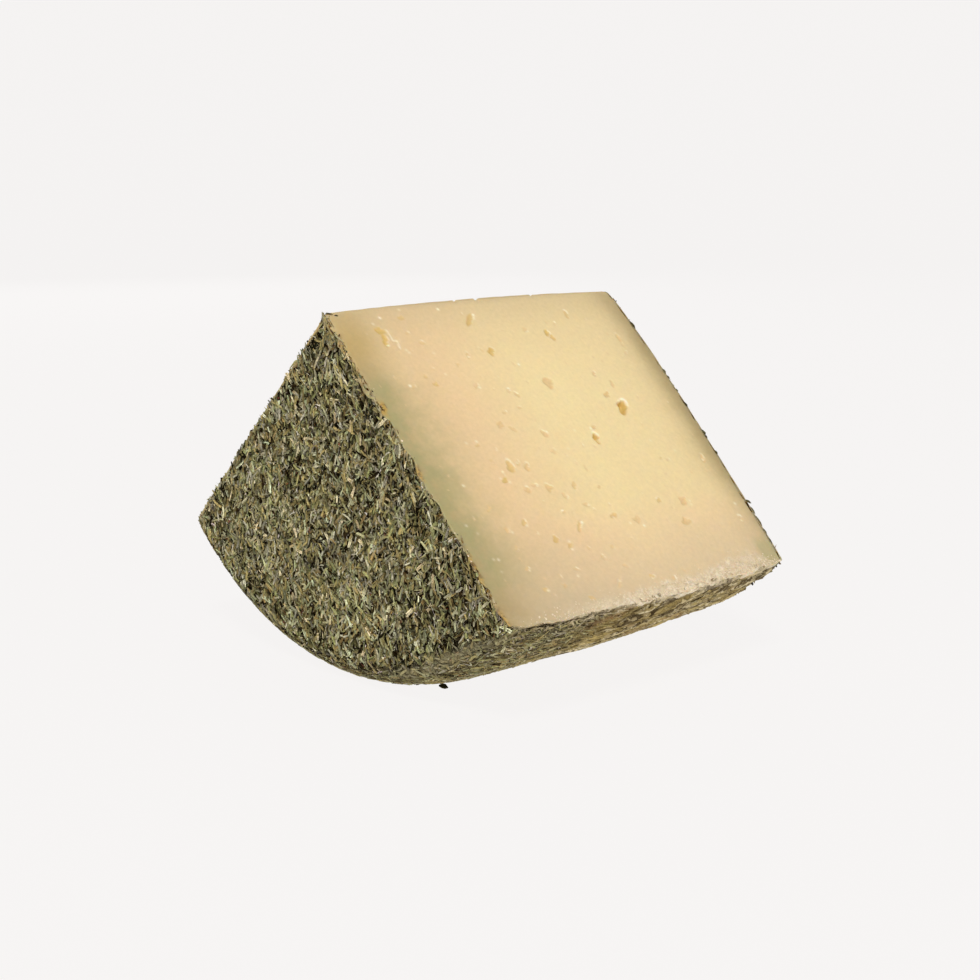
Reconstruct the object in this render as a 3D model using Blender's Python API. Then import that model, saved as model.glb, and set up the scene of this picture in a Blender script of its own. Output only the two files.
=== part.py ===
"""Quarter of a small wheel of sheep cheese, coated with dried herbs.

The quarter rests on its curved rim. The wheel's axis lies along X, and the sharp edge
where the two cuts meet is on top. The front cut faces -Y and up, the back cut +Y and up.
The coat covers the two flat sides of the wheel and its rim, and the cuts show bare paste.
Angles are measured about the sharp edge, from straight down, positive towards +Y.
"""

import math
import random

import bmesh
import bpy
from mathutils import Matrix, Vector, noise
from mathutils.bvhtree import BVHTree
from mathutils.geometry import delaunay_2d_cdt

MM = 0.001
SLOTS = ("paste", "coat", "herb")
PASTE, COAT, HERB = range(3)

# The wheel, in metres
WHEEL_RADIUS = 0.0944
WHEEL_HEIGHT = 0.0984
HALF_HEIGHT = WHEEL_HEIGHT / 2
CUT_ANGLE = math.radians(90)
HALF_CUT = CUT_ANGLE / 2
SKEW = 0.0098           # how much wider the wheel is at the front cut, as a share of its radius
OVAL = 0.0034           # how much wider it is at both cuts
LEFT_FALL = 0.0070      # how far the rim falls to the shoulder of the left side
LEFT_POWER = 11.5       # how late it starts to fall: a tight shoulder
LEFT_CUT_SHARE = 0.22   # share of that fall at the front cut, where the corner is sharp
LEFT_CUT_REACH = math.radians(11)   # how far round the wheel the sharp corner reaches
RIGHT_FALL = 0.0021
RIGHT_POWER = 1.8       # a slow barrel curve
EDGE_ROUND = 0.0009
RIGHT_DOME = 0.0021     # how far the right side bulges
DOME_POWER = 0.6        # below 1, the bulge is fullest nearer the sharp edge
RIGHT_TAPER = 0.0006    # how far it leans in towards the rim
RIGHT_REACH = 4         # how fast both die away across the wheel
CUT_CROWN = 0.0006      # how far the cuts bulge beside the sharp edge
REST_DEPTH = 0.0010     # the strip that the weight has pressed flat
APEX_HEIGHT = WHEEL_RADIUS - REST_DEPTH
APEX_SHIFT = WHEEL_RADIUS * SKEW * math.sin(HALF_CUT)
SIDE_SHIFT = -0.0005    # makes up for the right side's bulge
APEX = Vector((SIDE_SHIFT, APEX_SHIFT, APEX_HEIGHT))

# The coat
FACET = 0.0058          # spacing of the coat's facets
PASTE_FACET = 0.014
RELIEF = 0.0006         # depth of the crags between the herbs
RELIEF_SCALE = 0.006
CUT_RELIEF = 0.45       # share of the relief that is left along the cuts, where the knife passed
HERB_SPACING = 0.0100
HERB_MARGIN = 0.0022
HERB_LENGTH = (0.0042, 0.0066)
HERB_WIDTH = (0.0012, 0.0017)
HERB_THICKNESS = 0.0014
HERB_TILT = math.radians(5)
SIDE_SCATTER = math.radians(28)
RIM_SCATTER = math.radians(14)
REST_CLEARANCE = 0.0003
SHOULDER_TURN = 0.3     # where the rim turns towards a side, herbs lie round the wheel

# Eyes on the front cut, in millimetres: from the left side, down from the sharp edge,
# width, length, depth, and turn in degrees
FRONT_EYES = (
    (76.0, 39.0, 3.0, 3.8, 2.2, 20),
    (59.8, 47.2, 1.4, 3.4, 1.6, -25),
    (72.8, 34.5, 2.2, 1.7, 0.9, 10),
    (76.9, 31.9, 2.0, 1.4, 0.8, 0),
    (11.1, 9.2, 2.2, 4.0, 1.2, -35),
    (42.7, 5.4, 1.4, 1.9, 0.9, 0),
    (66.3, 13.0, 1.5, 2.9, 1.2, -20),
    (42.5, 17.2, 1.9, 1.3, 0.8, 15),
    (55.7, 28.4, 2.6, 1.9, 0.9, 0),
    (41.8, 30.7, 1.7, 1.3, 0.8, 30),
    (44.2, 44.3, 1.6, 1.4, 0.8, 0),
    (23.2, 55.9, 1.6, 1.5, 0.9, 0),
    (43.8, 66.3, 1.5, 1.3, 0.9, 40),
    (37.9, 71.4, 1.8, 1.5, 0.9, 0),
    (89.9, 19.2, 1.4, 2.6, 0.8, -15),
    (76.2, 70.2, 1.5, 1.4, 0.8, 0),
)
BACK_EYE_SPACING = 0.027
BACK_EYE_SIZE = (0.0013, 0.0032)
FINE_EYE = 0.0033       # larger eyes are rounder


def clear_scene():
    for thing in list(bpy.data.objects):
        bpy.data.objects.remove(thing)


def material(name, colour, roughness):
    made = bpy.data.materials.new(name)
    made.use_nodes = True
    shader = made.node_tree.nodes["Principled BSDF"]
    shader.inputs["Base Color"].default_value = (*colour, 1)
    shader.inputs["Roughness"].default_value = roughness
    shader.inputs["Metallic"].default_value = 0


def rim_radius(angle):
    """The wheel's widest radius, a little larger towards the front cut."""
    share = angle / HALF_CUT
    return WHEEL_RADIUS * (1 - SKEW * share + OVAL * share**2)


def left_share(angle):
    """The share of the left shoulder's fall: small at the front cut, and 1 beyond its reach."""
    part = max(0, min(1, (angle + HALF_CUT) / LEFT_CUT_REACH))
    return LEFT_CUT_SHARE + (1 - LEFT_CUT_SHARE) * part * part * (3 - 2 * part)


def rim_fall(x, angle=0):
    """How far the rim lies inside the widest radius, at a place along the axis and an angle."""
    share = abs(x) / HALF_HEIGHT
    if x < 0:
        fall = LEFT_FALL * left_share(angle) * share**LEFT_POWER
    else:
        fall = RIGHT_FALL * share**RIGHT_POWER
    inset = max(0, EDGE_ROUND - (HALF_HEIGHT - abs(x)))
    return fall + EDGE_ROUND - math.sqrt(max(0, EDGE_ROUND**2 - inset**2))


def rim_profile(samples=600):
    """The rim from the left side to the right: along its length, across the wheel, its fall."""
    places = []
    length = 0
    for i in range(samples + 1):
        x = -HALF_HEIGHT * math.cos(math.pi * i / samples)
        fall = rim_fall(x)
        if places:
            length += math.hypot(x - places[-1][1], fall - places[-1][2])
        places.append((length, x, fall))
    return places


PROFILE = rim_profile()
PROFILE_LENGTH = PROFILE[-1][0]


def on_profile(along):
    """The place across the wheel, at a length along the rim's profile."""
    for (start, x0, _), (end, x1, _) in zip(PROFILE, PROFILE[1:]):
        if along <= end:
            return x0 + (x1 - x0) * (along - start) / (end - start)
    return PROFILE[-1][1]


def polar(x, radius, angle):
    return Vector((x, radius * math.sin(angle), -radius * math.cos(angle)))


def steps(start, end, count):
    return [start + (end - start) * i / count for i in range(count + 1)]


def facets_along(length):
    return max(1, round(length / FACET))


def closed_outline(*edges):
    """One loop from edges that each start where the last one ended."""
    return [point for edge in edges for point in edge[:-1]]


def side_patch(x):
    """A flat side of the wheel, as a flat sector about the sharp edge."""

    def flat(radius, angle):
        return Vector((radius * math.sin(angle), -radius * math.cos(angle)))

    def outside(angle):
        return rim_radius(angle) - rim_fall(x, angle)

    count = facets_along(WHEEL_RADIUS)
    front = [flat(r, -HALF_CUT) for r in steps(0, outside(-HALF_CUT), count)]
    back = [flat(r, HALF_CUT) for r in steps(outside(HALF_CUT), 0, count)]
    turns = steps(-HALF_CUT, HALF_CUT, facets_along(WHEEL_RADIUS * CUT_ANGLE))
    arc = [flat(outside(angle), angle) for angle in turns]
    return closed_outline(front, arc, back), lambda p: Vector((x, p[0], p[1]))


def rim_patch():
    """The rim, unrolled: along its profile, then round the wheel."""
    across = steps(0, PROFILE_LENGTH, facets_along(PROFILE_LENGTH))
    turns = steps(-HALF_CUT, HALF_CUT, facets_along(WHEEL_RADIUS * CUT_ANGLE))
    round_by = [WHEEL_RADIUS * angle for angle in turns]

    def place(point):
        angle = max(-HALF_CUT, min(HALF_CUT, point[1] / WHEEL_RADIUS))
        x = on_profile(point[0])
        return polar(x, rim_radius(angle) - rim_fall(x, angle), angle)

    front = [Vector((s, round_by[0])) for s in across]
    right = [Vector((across[-1], w)) for w in round_by]
    back = [Vector((s, round_by[-1])) for s in reversed(across)]
    left = [Vector((0, w)) for w in reversed(round_by)]
    return closed_outline(front, right, back, left), place


def cut_patch(angle):
    """A cut face: across the wheel, and down from the sharp edge."""
    count = facets_along(WHEEL_RADIUS)
    left = steps(0, rim_radius(angle) - rim_fall(-HALF_HEIGHT, angle), count)
    right = steps(rim_radius(angle) - rim_fall(HALF_HEIGHT, angle), 0, count)
    across = [on_profile(s) for s in steps(0, PROFILE_LENGTH, facets_along(PROFILE_LENGTH))]
    rim = [Vector((x, rim_radius(angle) - rim_fall(x, angle))) for x in across]
    down = [Vector((-HALF_HEIGHT, r)) for r in left]
    up = [Vector((HALF_HEIGHT, r)) for r in right]
    top = [Vector((x, 0)) for x in steps(HALF_HEIGHT, -HALF_HEIGHT, facets_along(WHEEL_HEIGHT))]
    return closed_outline(down, rim, up, top), lambda p: polar(p[0], p[1], angle)


def distance_inside(point, outline):
    """How far inside an outline a point lies, negative outside it."""
    nearest = math.inf
    inside = False
    for a, b in zip(outline, outline[1:] + outline[:1]):
        edge = b - a
        share = max(0, min(1, (point - a).dot(edge) / edge.length_squared))
        nearest = min(nearest, (point - a - edge * share).length)
        if (a.y > point.y) != (b.y > point.y):
            if point.x < a.x + (point.y - a.y) * edge.x / edge.y:
                inside = not inside
    return nearest if inside else -nearest


def spread(outline, spacing, margin, jitter, draw):
    """An uneven hexagonal lattice of points, as far inside an outline as the margin says."""
    rise = spacing * math.sqrt(3) / 2
    low = Vector((min(p.x for p in outline), min(p.y for p in outline)))
    high = Vector((max(p.x for p in outline), max(p.y for p in outline)))
    found = []
    for row in range(int((high.y - low.y) / rise) + 1):
        for column in range(int((high.x - low.x) / spacing) + 1):
            x = low.x + (column + 0.5 * (row % 2) + draw.uniform(-jitter, jitter)) * spacing
            y = low.y + (row + 0.5 + draw.uniform(-jitter, jitter)) * rise
            point = Vector((x, y))
            if distance_inside(point, outline) > margin:
                found.append(point)
    return found


def add_patch(shape, patch, spacing, slot, draw):
    """Fills a patch's outline with triangles and sets them in place."""
    outline, place = patch
    points = outline + spread(outline, spacing, spacing * 0.55, 0.18, draw)
    flat, _, faces, _, _, _ = delaunay_2d_cdt(points, [], [list(range(len(outline)))], 1, 1e-7)
    corners = [shape.verts.new(place(p)) for p in flat]
    for face in faces:
        shape.faces.new([corners[i] for i in face]).material_index = slot


def coat_normal(x, angle):
    """Which way the coat faces, as its share along the wheel's axis and outwards."""
    if abs(x) > HALF_HEIGHT - 1e-6:
        return math.copysign(1, x), 0
    step = min(1e-5, HALF_HEIGHT - abs(x))
    slope = (rim_fall(x + step, angle) - rim_fall(x - step, angle)) / (2 * step)
    length = math.hypot(slope, 1)
    return slope / length, 1 / length


def roughen_coat(shape, draw):
    """Crags between the herbs. Each point moves in the plane through the axis, so the cuts stay flat."""
    coat = [v for v in shape.verts if any(face.material_index == COAT for face in v.link_faces)]
    for vert in coat:
        x, y, z = vert.co
        angle = math.atan2(y, -z)
        along, outward = coat_normal(x, angle)
        crag = noise.noise(vert.co / RELIEF_SCALE) + draw.uniform(-0.7, 0.7)
        beside_cut = any(face.material_index == PASTE for face in vert.link_faces)
        height = RELIEF * crag * (CUT_RELIEF if beside_cut else 1)
        radial = Vector((0, math.sin(angle), -math.cos(angle)))
        vert.co += height * (Vector((along, 0, 0)) + outward * radial)


def bulge(shape):
    """The right side's dome and taper, and the crown of both cuts beside the sharp edge."""
    for vert in shape.verts:
        x, y, z = vert.co
        radius = min(1, math.hypot(y, z) / WHEEL_RADIUS)
        reach = max(0, x / HALF_HEIGHT) ** RIGHT_REACH
        dome = RIGHT_DOME * math.sin(math.pi * radius**DOME_POWER) - RIGHT_TAPER * radius**2
        vert.co.x += reach * dome
        if all(face.material_index == COAT for face in vert.link_faces):
            continue
        lift = CUT_CROWN * (1 - min(1, abs(x) / HALF_HEIGHT) ** 2) * (1 - radius)
        if radius < 0.001:
            vert.co.z += lift * math.sqrt(2)
        else:
            side = math.copysign(1, y)
            vert.co += lift * Vector((0, side * math.cos(HALF_CUT), math.sin(HALF_CUT)))


def set_down(shape):
    """Stands the quarter on its rim, with the lowest strip pressed flat."""
    for vert in shape.verts:
        vert.co += APEX
        vert.co.z = max(0, vert.co.z)


def coat_patches():
    """What the herbs cover: both sides of the wheel and its rim."""
    return side_patch(-HALF_HEIGHT), side_patch(HALF_HEIGHT), rim_patch()


def body_mesh(patches, draw):
    """The closed surface of the quarter, without eyes and herbs."""
    shape = bmesh.new()
    for patch in patches:
        add_patch(shape, patch, FACET, COAT, draw)
    for angle in (-HALF_CUT, HALF_CUT):
        add_patch(shape, cut_patch(angle), PASTE_FACET, PASTE, draw)
    bmesh.ops.remove_doubles(shape, verts=shape.verts, dist=1e-6)
    roughen_coat(shape, draw)
    bulge(shape)
    set_down(shape)
    bmesh.ops.recalc_face_normals(shape, faces=shape.faces)
    return shape


def new_object(name, shape, collection):
    mesh = bpy.data.meshes.new(name)
    shape.to_mesh(mesh)
    shape.free()
    for slot in SLOTS:
        mesh.materials.append(bpy.data.materials[slot])
    thing = bpy.data.objects.new(name, mesh)
    collection.objects.link(thing)
    return thing


def on_cut(angle, across, down):
    """A point of a cut face, in world coordinates."""
    return polar(across - HALF_HEIGHT, down, angle) + APEX


def eye_cutter(angle, across, down, width, length, depth, turn, draw):
    """An uneven hollow, centred on a cut face."""
    shape = bmesh.new()
    fine = 2 if max(width, length) > FINE_EYE else 1
    bmesh.ops.create_icosphere(shape, subdivisions=fine, radius=0.5)
    for vert in shape.verts:
        vert.co *= draw.uniform(0.88, 1.12)
        vert.co = Vector((vert.co.x * width, vert.co.y * length, vert.co.z * depth * 2))
    outward = Vector((0, math.copysign(math.cos(HALF_CUT), angle), math.sin(HALF_CUT)))
    across_way = Vector((1, 0, 0))
    frame = Matrix((across_way, outward.cross(across_way), outward)).transposed().to_4x4()
    place = Matrix.Translation(on_cut(angle, across, down))
    shape.transform(place @ frame @ Matrix.Rotation(turn, 4, "Z"))
    for face in shape.faces:
        face.material_index = PASTE
    return shape


def add_eyes(collection, draw):
    for across, down, width, length, depth, turn in FRONT_EYES:
        sizes = [value * MM for value in (across, down, width, length, depth)]
        shape = eye_cutter(-HALF_CUT, *sizes, math.radians(turn), draw)
        new_object("eye", shape, collection)
    outline, _ = cut_patch(HALF_CUT)
    for point in spread(outline, BACK_EYE_SPACING, 0.007, 0.4, draw):
        width, length = draw.uniform(*BACK_EYE_SIZE), draw.uniform(*BACK_EYE_SIZE)
        turn = draw.uniform(0, math.pi)
        across = point.x + HALF_HEIGHT
        shape = eye_cutter(HALF_CUT, across, point.y, width, length, 0.5 * width, turn, draw)
        new_object("eye", shape, collection)


def herb_mesh(longest, draw):
    """A cut needle of herb: a bar with a ridge, narrower at one end, lying along Y."""
    length = min(longest, draw.uniform(*HERB_LENGTH))
    width = draw.uniform(*HERB_WIDTH)
    shape = bmesh.new()
    rings = []
    for end, taper in ((-0.5, draw.uniform(0.55, 0.9)), (0.5, draw.uniform(0.75, 1))):
        skew = draw.uniform(-0.12, 0.12) * length
        ring = []
        for x, z in ((0.5, 0), (0.08, 0.5), (-0.5, 0.05), (0, -0.5)):
            y = end * length + skew * x
            ring.append(shape.verts.new((x * width * taper, y, z * HERB_THICKNESS * taper)))
        rings.append(ring)
    shape.faces.new(rings[0])
    shape.faces.new(reversed(rings[1]))
    for i in range(4):
        j = (i + 1) % 4
        shape.faces.new((rings[0][j], rings[0][i], rings[1][i], rings[1][j]))
    bmesh.ops.triangulate(shape, faces=shape.faces)
    bmesh.ops.recalc_face_normals(shape, faces=shape.faces)
    return shape


def add_herbs(collection, patches, surface, draw):
    """The largest herbs, evenly over the coat: upright on the sides, along the axis on the rim."""
    grains = (Vector((0, 0, 1)), Vector((0, 0, 1)), Vector((1, 0, 0)))
    scatters = (SIDE_SCATTER, SIDE_SCATTER, RIM_SCATTER)
    for (outline, place), grain, scatter in zip(patches, grains, scatters):
        for point in spread(outline, HERB_SPACING, HERB_MARGIN, 0.3, draw):
            target = place(point) + APEX
            spot, normal, _, _ = surface.find_nearest(target)
            if grain.x and abs(normal.x) > SHOULDER_TURN:
                grain_here = grain.cross(normal)
            else:
                grain_here = grain
            lie = Matrix.Rotation(draw.gauss(0, scatter), 3, normal) @ grain_here
            lie = (lie - normal * lie.dot(normal)).normalized()
            frame = Matrix((lie.cross(normal), lie, normal)).transposed().to_4x4()
            tilt = Matrix.Rotation(draw.uniform(-HERB_TILT, HERB_TILT), 4, "X")
            shape = herb_mesh(2.2 * distance_inside(point, outline), draw)
            shape.transform(Matrix.Translation(spot) @ frame @ tilt)
            for face in shape.faces:
                face.material_index = HERB
            if min(vert.co.z for vert in shape.verts) < REST_CLEARANCE:
                shape.free()
                continue
            new_object("herb", shape, collection)


def combine(body, collection, operation):
    """One Boolean of the body with all of a collection, applied. The collection then goes."""
    boolean = body.modifiers.new(operation.lower(), "BOOLEAN")
    boolean.operation = operation
    boolean.operand_type = "COLLECTION"
    boolean.collection = collection
    boolean.solver = "EXACT"
    bpy.context.view_layer.update()
    evaluated = body.evaluated_get(bpy.context.evaluated_depsgraph_get())
    mesh = bpy.data.meshes.new_from_object(evaluated)
    body.modifiers.remove(boolean)
    body.data = mesh
    for thing in list(collection.objects):
        bpy.data.objects.remove(thing)
    bpy.data.collections.remove(collection)


def new_collection(name):
    made = bpy.data.collections.new(name)
    bpy.context.scene.collection.children.link(made)
    return made


def cheese():
    patches = coat_patches()
    shape = body_mesh(patches, random.Random(7))
    surface = BVHTree.FromBMesh(shape)
    body = new_object("cheese", shape, bpy.context.scene.collection)
    eyes = new_collection("eyes")
    add_eyes(eyes, random.Random(11))
    combine(body, eyes, "DIFFERENCE")
    herbs = new_collection("herbs")
    add_herbs(herbs, patches, surface, random.Random(23))
    combine(body, herbs, "UNION")


def main():
    clear_scene()
    material("paste", (0.80, 0.66, 0.38), 0.55)
    material("coat", (0.12, 0.10, 0.05), 0.9)
    material("herb", (0.19, 0.17, 0.09), 0.85)
    cheese()


main()
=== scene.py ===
"""Looks for a quarter wheel of sheep cheese in a coat of chopped dried herbs.

The quarter rests on its curved rim with the sharp edge on top. The wheel's axis lies along X.
The front cut faces -Y and up, the back cut +Y and up. Angles are measured about the sharp edge,
from straight down, positive towards +Y. All sizes are in metres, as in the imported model.
"""

import collections
import itertools
import math

import bpy
import numpy as np
from bpy.props import FloatProperty, FloatVectorProperty, IntProperty, PointerProperty
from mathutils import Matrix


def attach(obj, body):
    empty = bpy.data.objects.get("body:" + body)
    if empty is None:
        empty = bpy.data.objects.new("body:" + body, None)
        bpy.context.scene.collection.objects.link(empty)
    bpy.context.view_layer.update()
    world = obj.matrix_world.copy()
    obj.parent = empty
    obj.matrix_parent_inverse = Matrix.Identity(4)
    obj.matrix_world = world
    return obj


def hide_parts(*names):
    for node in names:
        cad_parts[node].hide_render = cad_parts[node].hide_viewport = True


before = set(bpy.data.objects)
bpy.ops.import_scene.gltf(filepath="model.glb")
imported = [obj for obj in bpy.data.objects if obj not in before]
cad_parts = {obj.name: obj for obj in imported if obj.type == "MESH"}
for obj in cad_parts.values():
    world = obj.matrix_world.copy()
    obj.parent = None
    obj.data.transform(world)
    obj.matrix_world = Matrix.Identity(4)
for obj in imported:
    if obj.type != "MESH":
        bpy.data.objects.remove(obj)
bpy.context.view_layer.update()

bl_info = {
    "name": "Herb-coated sheep cheese",
    "version": (1, 0, 0),
    "blender": (4, 5, 0),
    "location": "3D View > Sidebar > Cheese",
    "description": "Builds a quarter wheel of sheep cheese with a coat of dried herbs",
    "category": "Add Mesh",
}

MM = 0.001
UP = np.array([0.0, 0.0, 1.0])
AXIS = np.array([1.0, 0.0, 0.0])

# Eyes on the front cut, in millimetres: from the left side, down from the sharp edge, width,
# length, depth, turn in degrees, and how ochre the floor is, from 0 to 1
EYES = (
    (75.9, 39.3, 3.4, 5.0, 2.2, 40, 1.0), (60.0, 47.6, 2.0, 3.5, 1.6, 4, 1.0),
    (61.4, 44.3, 1.2, 2.0, 0.4, 32, 0.2), (73.0, 34.9, 1.9, 2.5, 0.7, 49, 0.25),
    (77.3, 31.8, 1.3, 2.6, 0.4, 20, 0.15), (12.4, 7.2, 2.2, 3.2, 0.7, 80, 0.85),
    (12.4, 10.3, 1.7, 4.4, 1.0, 15, 0.9), (42.5, 6.1, 1.6, 5.7, 0.9, 46, 0.6),
    (21.1, 3.9, 1.5, 2.0, 0.4, 76, 0.45), (43.0, 17.1, 1.9, 3.1, 0.8, 34, 0.8),
    (40.2, 16.4, 0.8, 1.8, 0.2, -36, 0.2), (65.7, 12.9, 1.7, 2.3, 0.9, 51, 0.8),
    (66.6, 14.7, 1.3, 2.5, 0.6, -6, 0.6), (76.8, 7.3, 1.3, 3.6, 0.5, 8, 0.4),
    (58.8, 11.3, 1.6, 1.8, 0.3, 64, 0.1), (55.5, 28.9, 3.3, 4.0, 0.8, 21, 0.15),
    (40.9, 29.9, 1.1, 1.9, 0.3, 13, 0.0), (42.8, 31.4, 1.4, 1.8, 0.5, -23, 0.1),
    (19.8, 25.2, 1.2, 1.9, 0.6, -90, 0.5), (22.9, 12.2, 1.4, 1.8, 0.4, 82, 0.2),
    (20.2, 8.7, 0.8, 1.3, 0.3, 62, 0.1), (18.0, 22.6, 1.1, 1.4, 0.4, 61, 0.2),
    (34.8, 17.6, 1.2, 1.8, 0.4, 21, 0.3), (12.8, 25.2, 1.1, 1.4, 0.4, 80, 0.1),
    (31.7, 27.2, 1.4, 1.8, 0.5, 55, 0.0), (29.9, 20.2, 1.2, 1.3, 0.25, 2, 0.2),
    (73.1, 27.9, 1.2, 2.1, 0.4, 23, 0.2), (90.6, 16.6, 1.6, 2.8, 0.6, 17, 0.1),
    (90.3, 19.1, 0.7, 2.1, 0.25, 11, 0.0), (89.7, 22.0, 1.0, 1.3, 0.4, 34, 0.0),
    (31.9, 39.7, 1.8, 2.9, 0.6, 43, 0.2), (35.0, 41.5, 1.2, 2.5, 0.4, -55, 0.15),
    (44.1, 44.2, 2.0, 2.7, 0.6, -20, 0.1), (35.4, 36.2, 1.1, 1.4, 0.3, 67, 0.15),
    (41.0, 35.4, 0.9, 1.5, 0.3, 67, 0.15), (43.4, 49.7, 1.5, 2.0, 0.4, 67, -0.2),
    (21.3, 44.6, 0.9, 1.9, 0.4, 76, 0.3), (27.3, 52.1, 2.4, 3.8, 0.8, 11, 0.45),
    (32.2, 52.9, 1.5, 3.0, 0.6, 8, 0.2), (30.2, 51.3, 0.9, 1.8, 0.4, 33, 0.2),
    (23.3, 55.5, 1.5, 2.1, 0.7, 69, 0.8), (22.7, 49.5, 0.9, 1.7, 0.3, 89, 0.15),
    (28.4, 59.3, 1.7, 2.0, 0.5, -63, 0.15), (31.2, 58.3, 0.9, 1.8, 0.25, 90, 0.1),
    (35.2, 59.7, 2.1, 2.8, 0.6, 34, 0.15), (43.4, 60.3, 1.2, 2.5, 0.6, 30, 0.25),
    (38.6, 62.7, 1.2, 2.7, 0.4, -19, 0.15), (43.6, 66.3, 1.4, 2.3, 0.4, -60, 0.15),
    (50.6, 56.0, 0.8, 2.5, 0.3, 5, 0.0), (35.2, 67.1, 1.0, 1.6, 0.25, 70, 0.1),
    (13.8, 62.4, 1.0, 2.3, 0.5, 34, 0.2), (21.5, 68.0, 1.6, 2.1, 0.6, 30, 0.5),
    (15.4, 68.9, 1.5, 2.0, 0.5, 28, 0.1), (37.4, 71.7, 1.1, 3.7, 0.8, 45, 0.2),
    (27.9, 74.0, 1.8, 2.1, 0.6, 35, 0.65), (31.1, 76.4, 1.2, 2.6, 0.7, 32, 0.4),
    (36.1, 78.0, 1.1, 1.1, 0.3, 40, 0.1), (39.1, 81.3, 1.3, 1.8, 0.4, -5, 0.0),
    (15.1, 74.1, 0.9, 1.9, 0.35, 31, 0.1), (14.7, 80.1, 1.2, 1.5, 0.3, -62, 0.2),
    (28.8, 82.9, 1.0, 1.6, 0.25, -68, 0.1), (16.4, 86.3, 1.4, 1.5, 0.4, -36, 0.35),
    (22.5, 86.2, 1.2, 1.6, 0.35, -1, 0.15), (28.2, 91.0, 1.5, 1.6, 0.3, -87, 0.35),
    (92.5, 59.1, 1.7, 2.6, 0.6, 31, 0.15), (77.7, 56.7, 0.7, 1.2, 0.3, 72, 0.4),
    (79.8, 57.6, 0.8, 1.4, 0.3, 77, -0.3), (51.0, 62.0, 0.9, 1.4, 0.25, 63, 0.3),
    (67.8, 68.9, 1.4, 2.1, 0.4, 39, 0.35), (75.9, 70.4, 2.2, 3.6, 0.7, 53, 0.1),
    (50.1, 70.7, 1.5, 2.4, 0.6, 73, 0.4), (56.7, 73.1, 2.2, 2.6, 0.6, 70, 0.1),
    (72.5, 76.4, 2.5, 3.3, 0.7, -82, 0.15), (92.2, 78.9, 1.6, 2.2, 0.5, 25, 0.0),
    (43.6, 78.9, 1.1, 1.8, 0.4, 33, 0.1), (39.0, 81.4, 1.3, 1.6, 0.4, -13, -0.1),
    (44.1, 84.8, 1.2, 1.8, 0.4, -73, 0.0), (38.9, 89.2, 1.0, 3.6, 0.5, 46, 0.0),
    (50.3, 89.3, 1.5, 1.8, 0.5, -84, 0.35), (56.9, 91.0, 1.3, 1.8, 0.3, 65, 0.1),
)
# Painted highlights on the front cut, tiny bright points: from the left side, down, and strength
GLINTS = (
    (34.1, 2.2, 1.0), (14.7, 3.2, 0.9), (11.6, 4.9, 0.4), (21.9, 1.2, 0.4), (44.5, 4.9, 0.9),
    (11.9, 24.7, 0.9), (16.9, 14.0, 0.4), (17.3, 14.8, 0.4), (24.7, 15.8, 0.3),
    (34.9, 18.0, 0.6), (24.4, 22.6, 0.4), (12.4, 11.9, 0.8), (14.6, 7.6, 0.5),
    (49.5, 22.1, 0.9), (32.5, 27.8, 0.7), (60.2, 44.6, 0.9), (54.4, 44.5, 0.4),
    (30.1, 51.2, 0.5), (24.4, 56.2, 0.5), (22.4, 54.9, 0.5), (10.4, 55.0, 0.6),
    (18.4, 43.4, 0.4), (21.7, 43.4, 0.6), (38.9, 70.8, 1.0), (31.0, 77.4, 0.8),
    (31.5, 75.2, 0.5), (8.1, 76.1, 0.5), (6.8, 75.8, 0.35), (4.7, 65.7, 0.4), (7.0, 79.3, 0.2),
    (28.0, 84.7, 0.5), (17.0, 86.6, 0.5), (44.3, 66.4, 0.5), (57.8, 75.2, 0.9),
    (53.9, 73.7, 0.6), (49.8, 71.1, 0.5), (93.5, 74.2, 0.7), (92.0, 79.4, 0.7),
    (92.5, 59.3, 0.7), (78.2, 70.8, 0.5), (77.9, 71.9, 0.4), (50.3, 89.6, 0.6),
    (21.9, 68.7, 0.5), (16.5, 69.8, 0.5), (39.7, 88.3, 0.5), (6.6, 68.3, 0.2),
    (48.7, 49.5, 0.3), (78.0, 51.0, 0.4), (84.4, 55.2, 0.3),
)
# Pale creases beside the angled eye: from and to, each across and down
CREASES = ((14.5, 7.0, 14.7, 10.6), (14.7, 10.6, 15.9, 10.7), (15.9, 10.7, 15.4, 13.2))
# Chips out of the sharp edge: from the left side and half width, in millimetres
EDGE_CHIPS = ((41.3, 0.35), (48.7, 0.5), (68.6, 0.35))
# The paste's ragged border at the left coat: down, and how far it lies from the left side
LEFT_BORDER = np.array((
    (0, -0.6), (4, -1.0), (7, -0.3), (10, -1.1), (13.5, -0.5), (16.6, -0.4), (20, -0.9), (26, -1.1),
    (29, 0.1), (32, -0.7), (35, 0.5), (41, 0.1), (47, 0.5), (50, -0.3), (56, -1.0), (59, 0.5),
    (67, 0.4), (73, 0.7), (76, 0.1), (79, 0.8), (81.4, -0.3), (84.5, 0.6), (87, 0.0), (90, -0.2),
    (93, 0.6),
)).T
# Width of the crumbly band above the rim: from the left side, and width, in millimetres
CRUMB_BAND = np.array((
    (0, 3.2), (12, 3.2), (30, 3.4), (45, 4.0), (70, 4.6), (77, 6.4), (87, 5.4), (91, 3.0),
    (98, 0.5),
)).T
# Brown stains beside the left coat: down, half length and strength
STAINS = ((30.3, 2.2, 1.0), (49.7, 2.4, 0.8), (77.4, 4.5, 0.9), (91.5, 2.4, 1.0))
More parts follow.
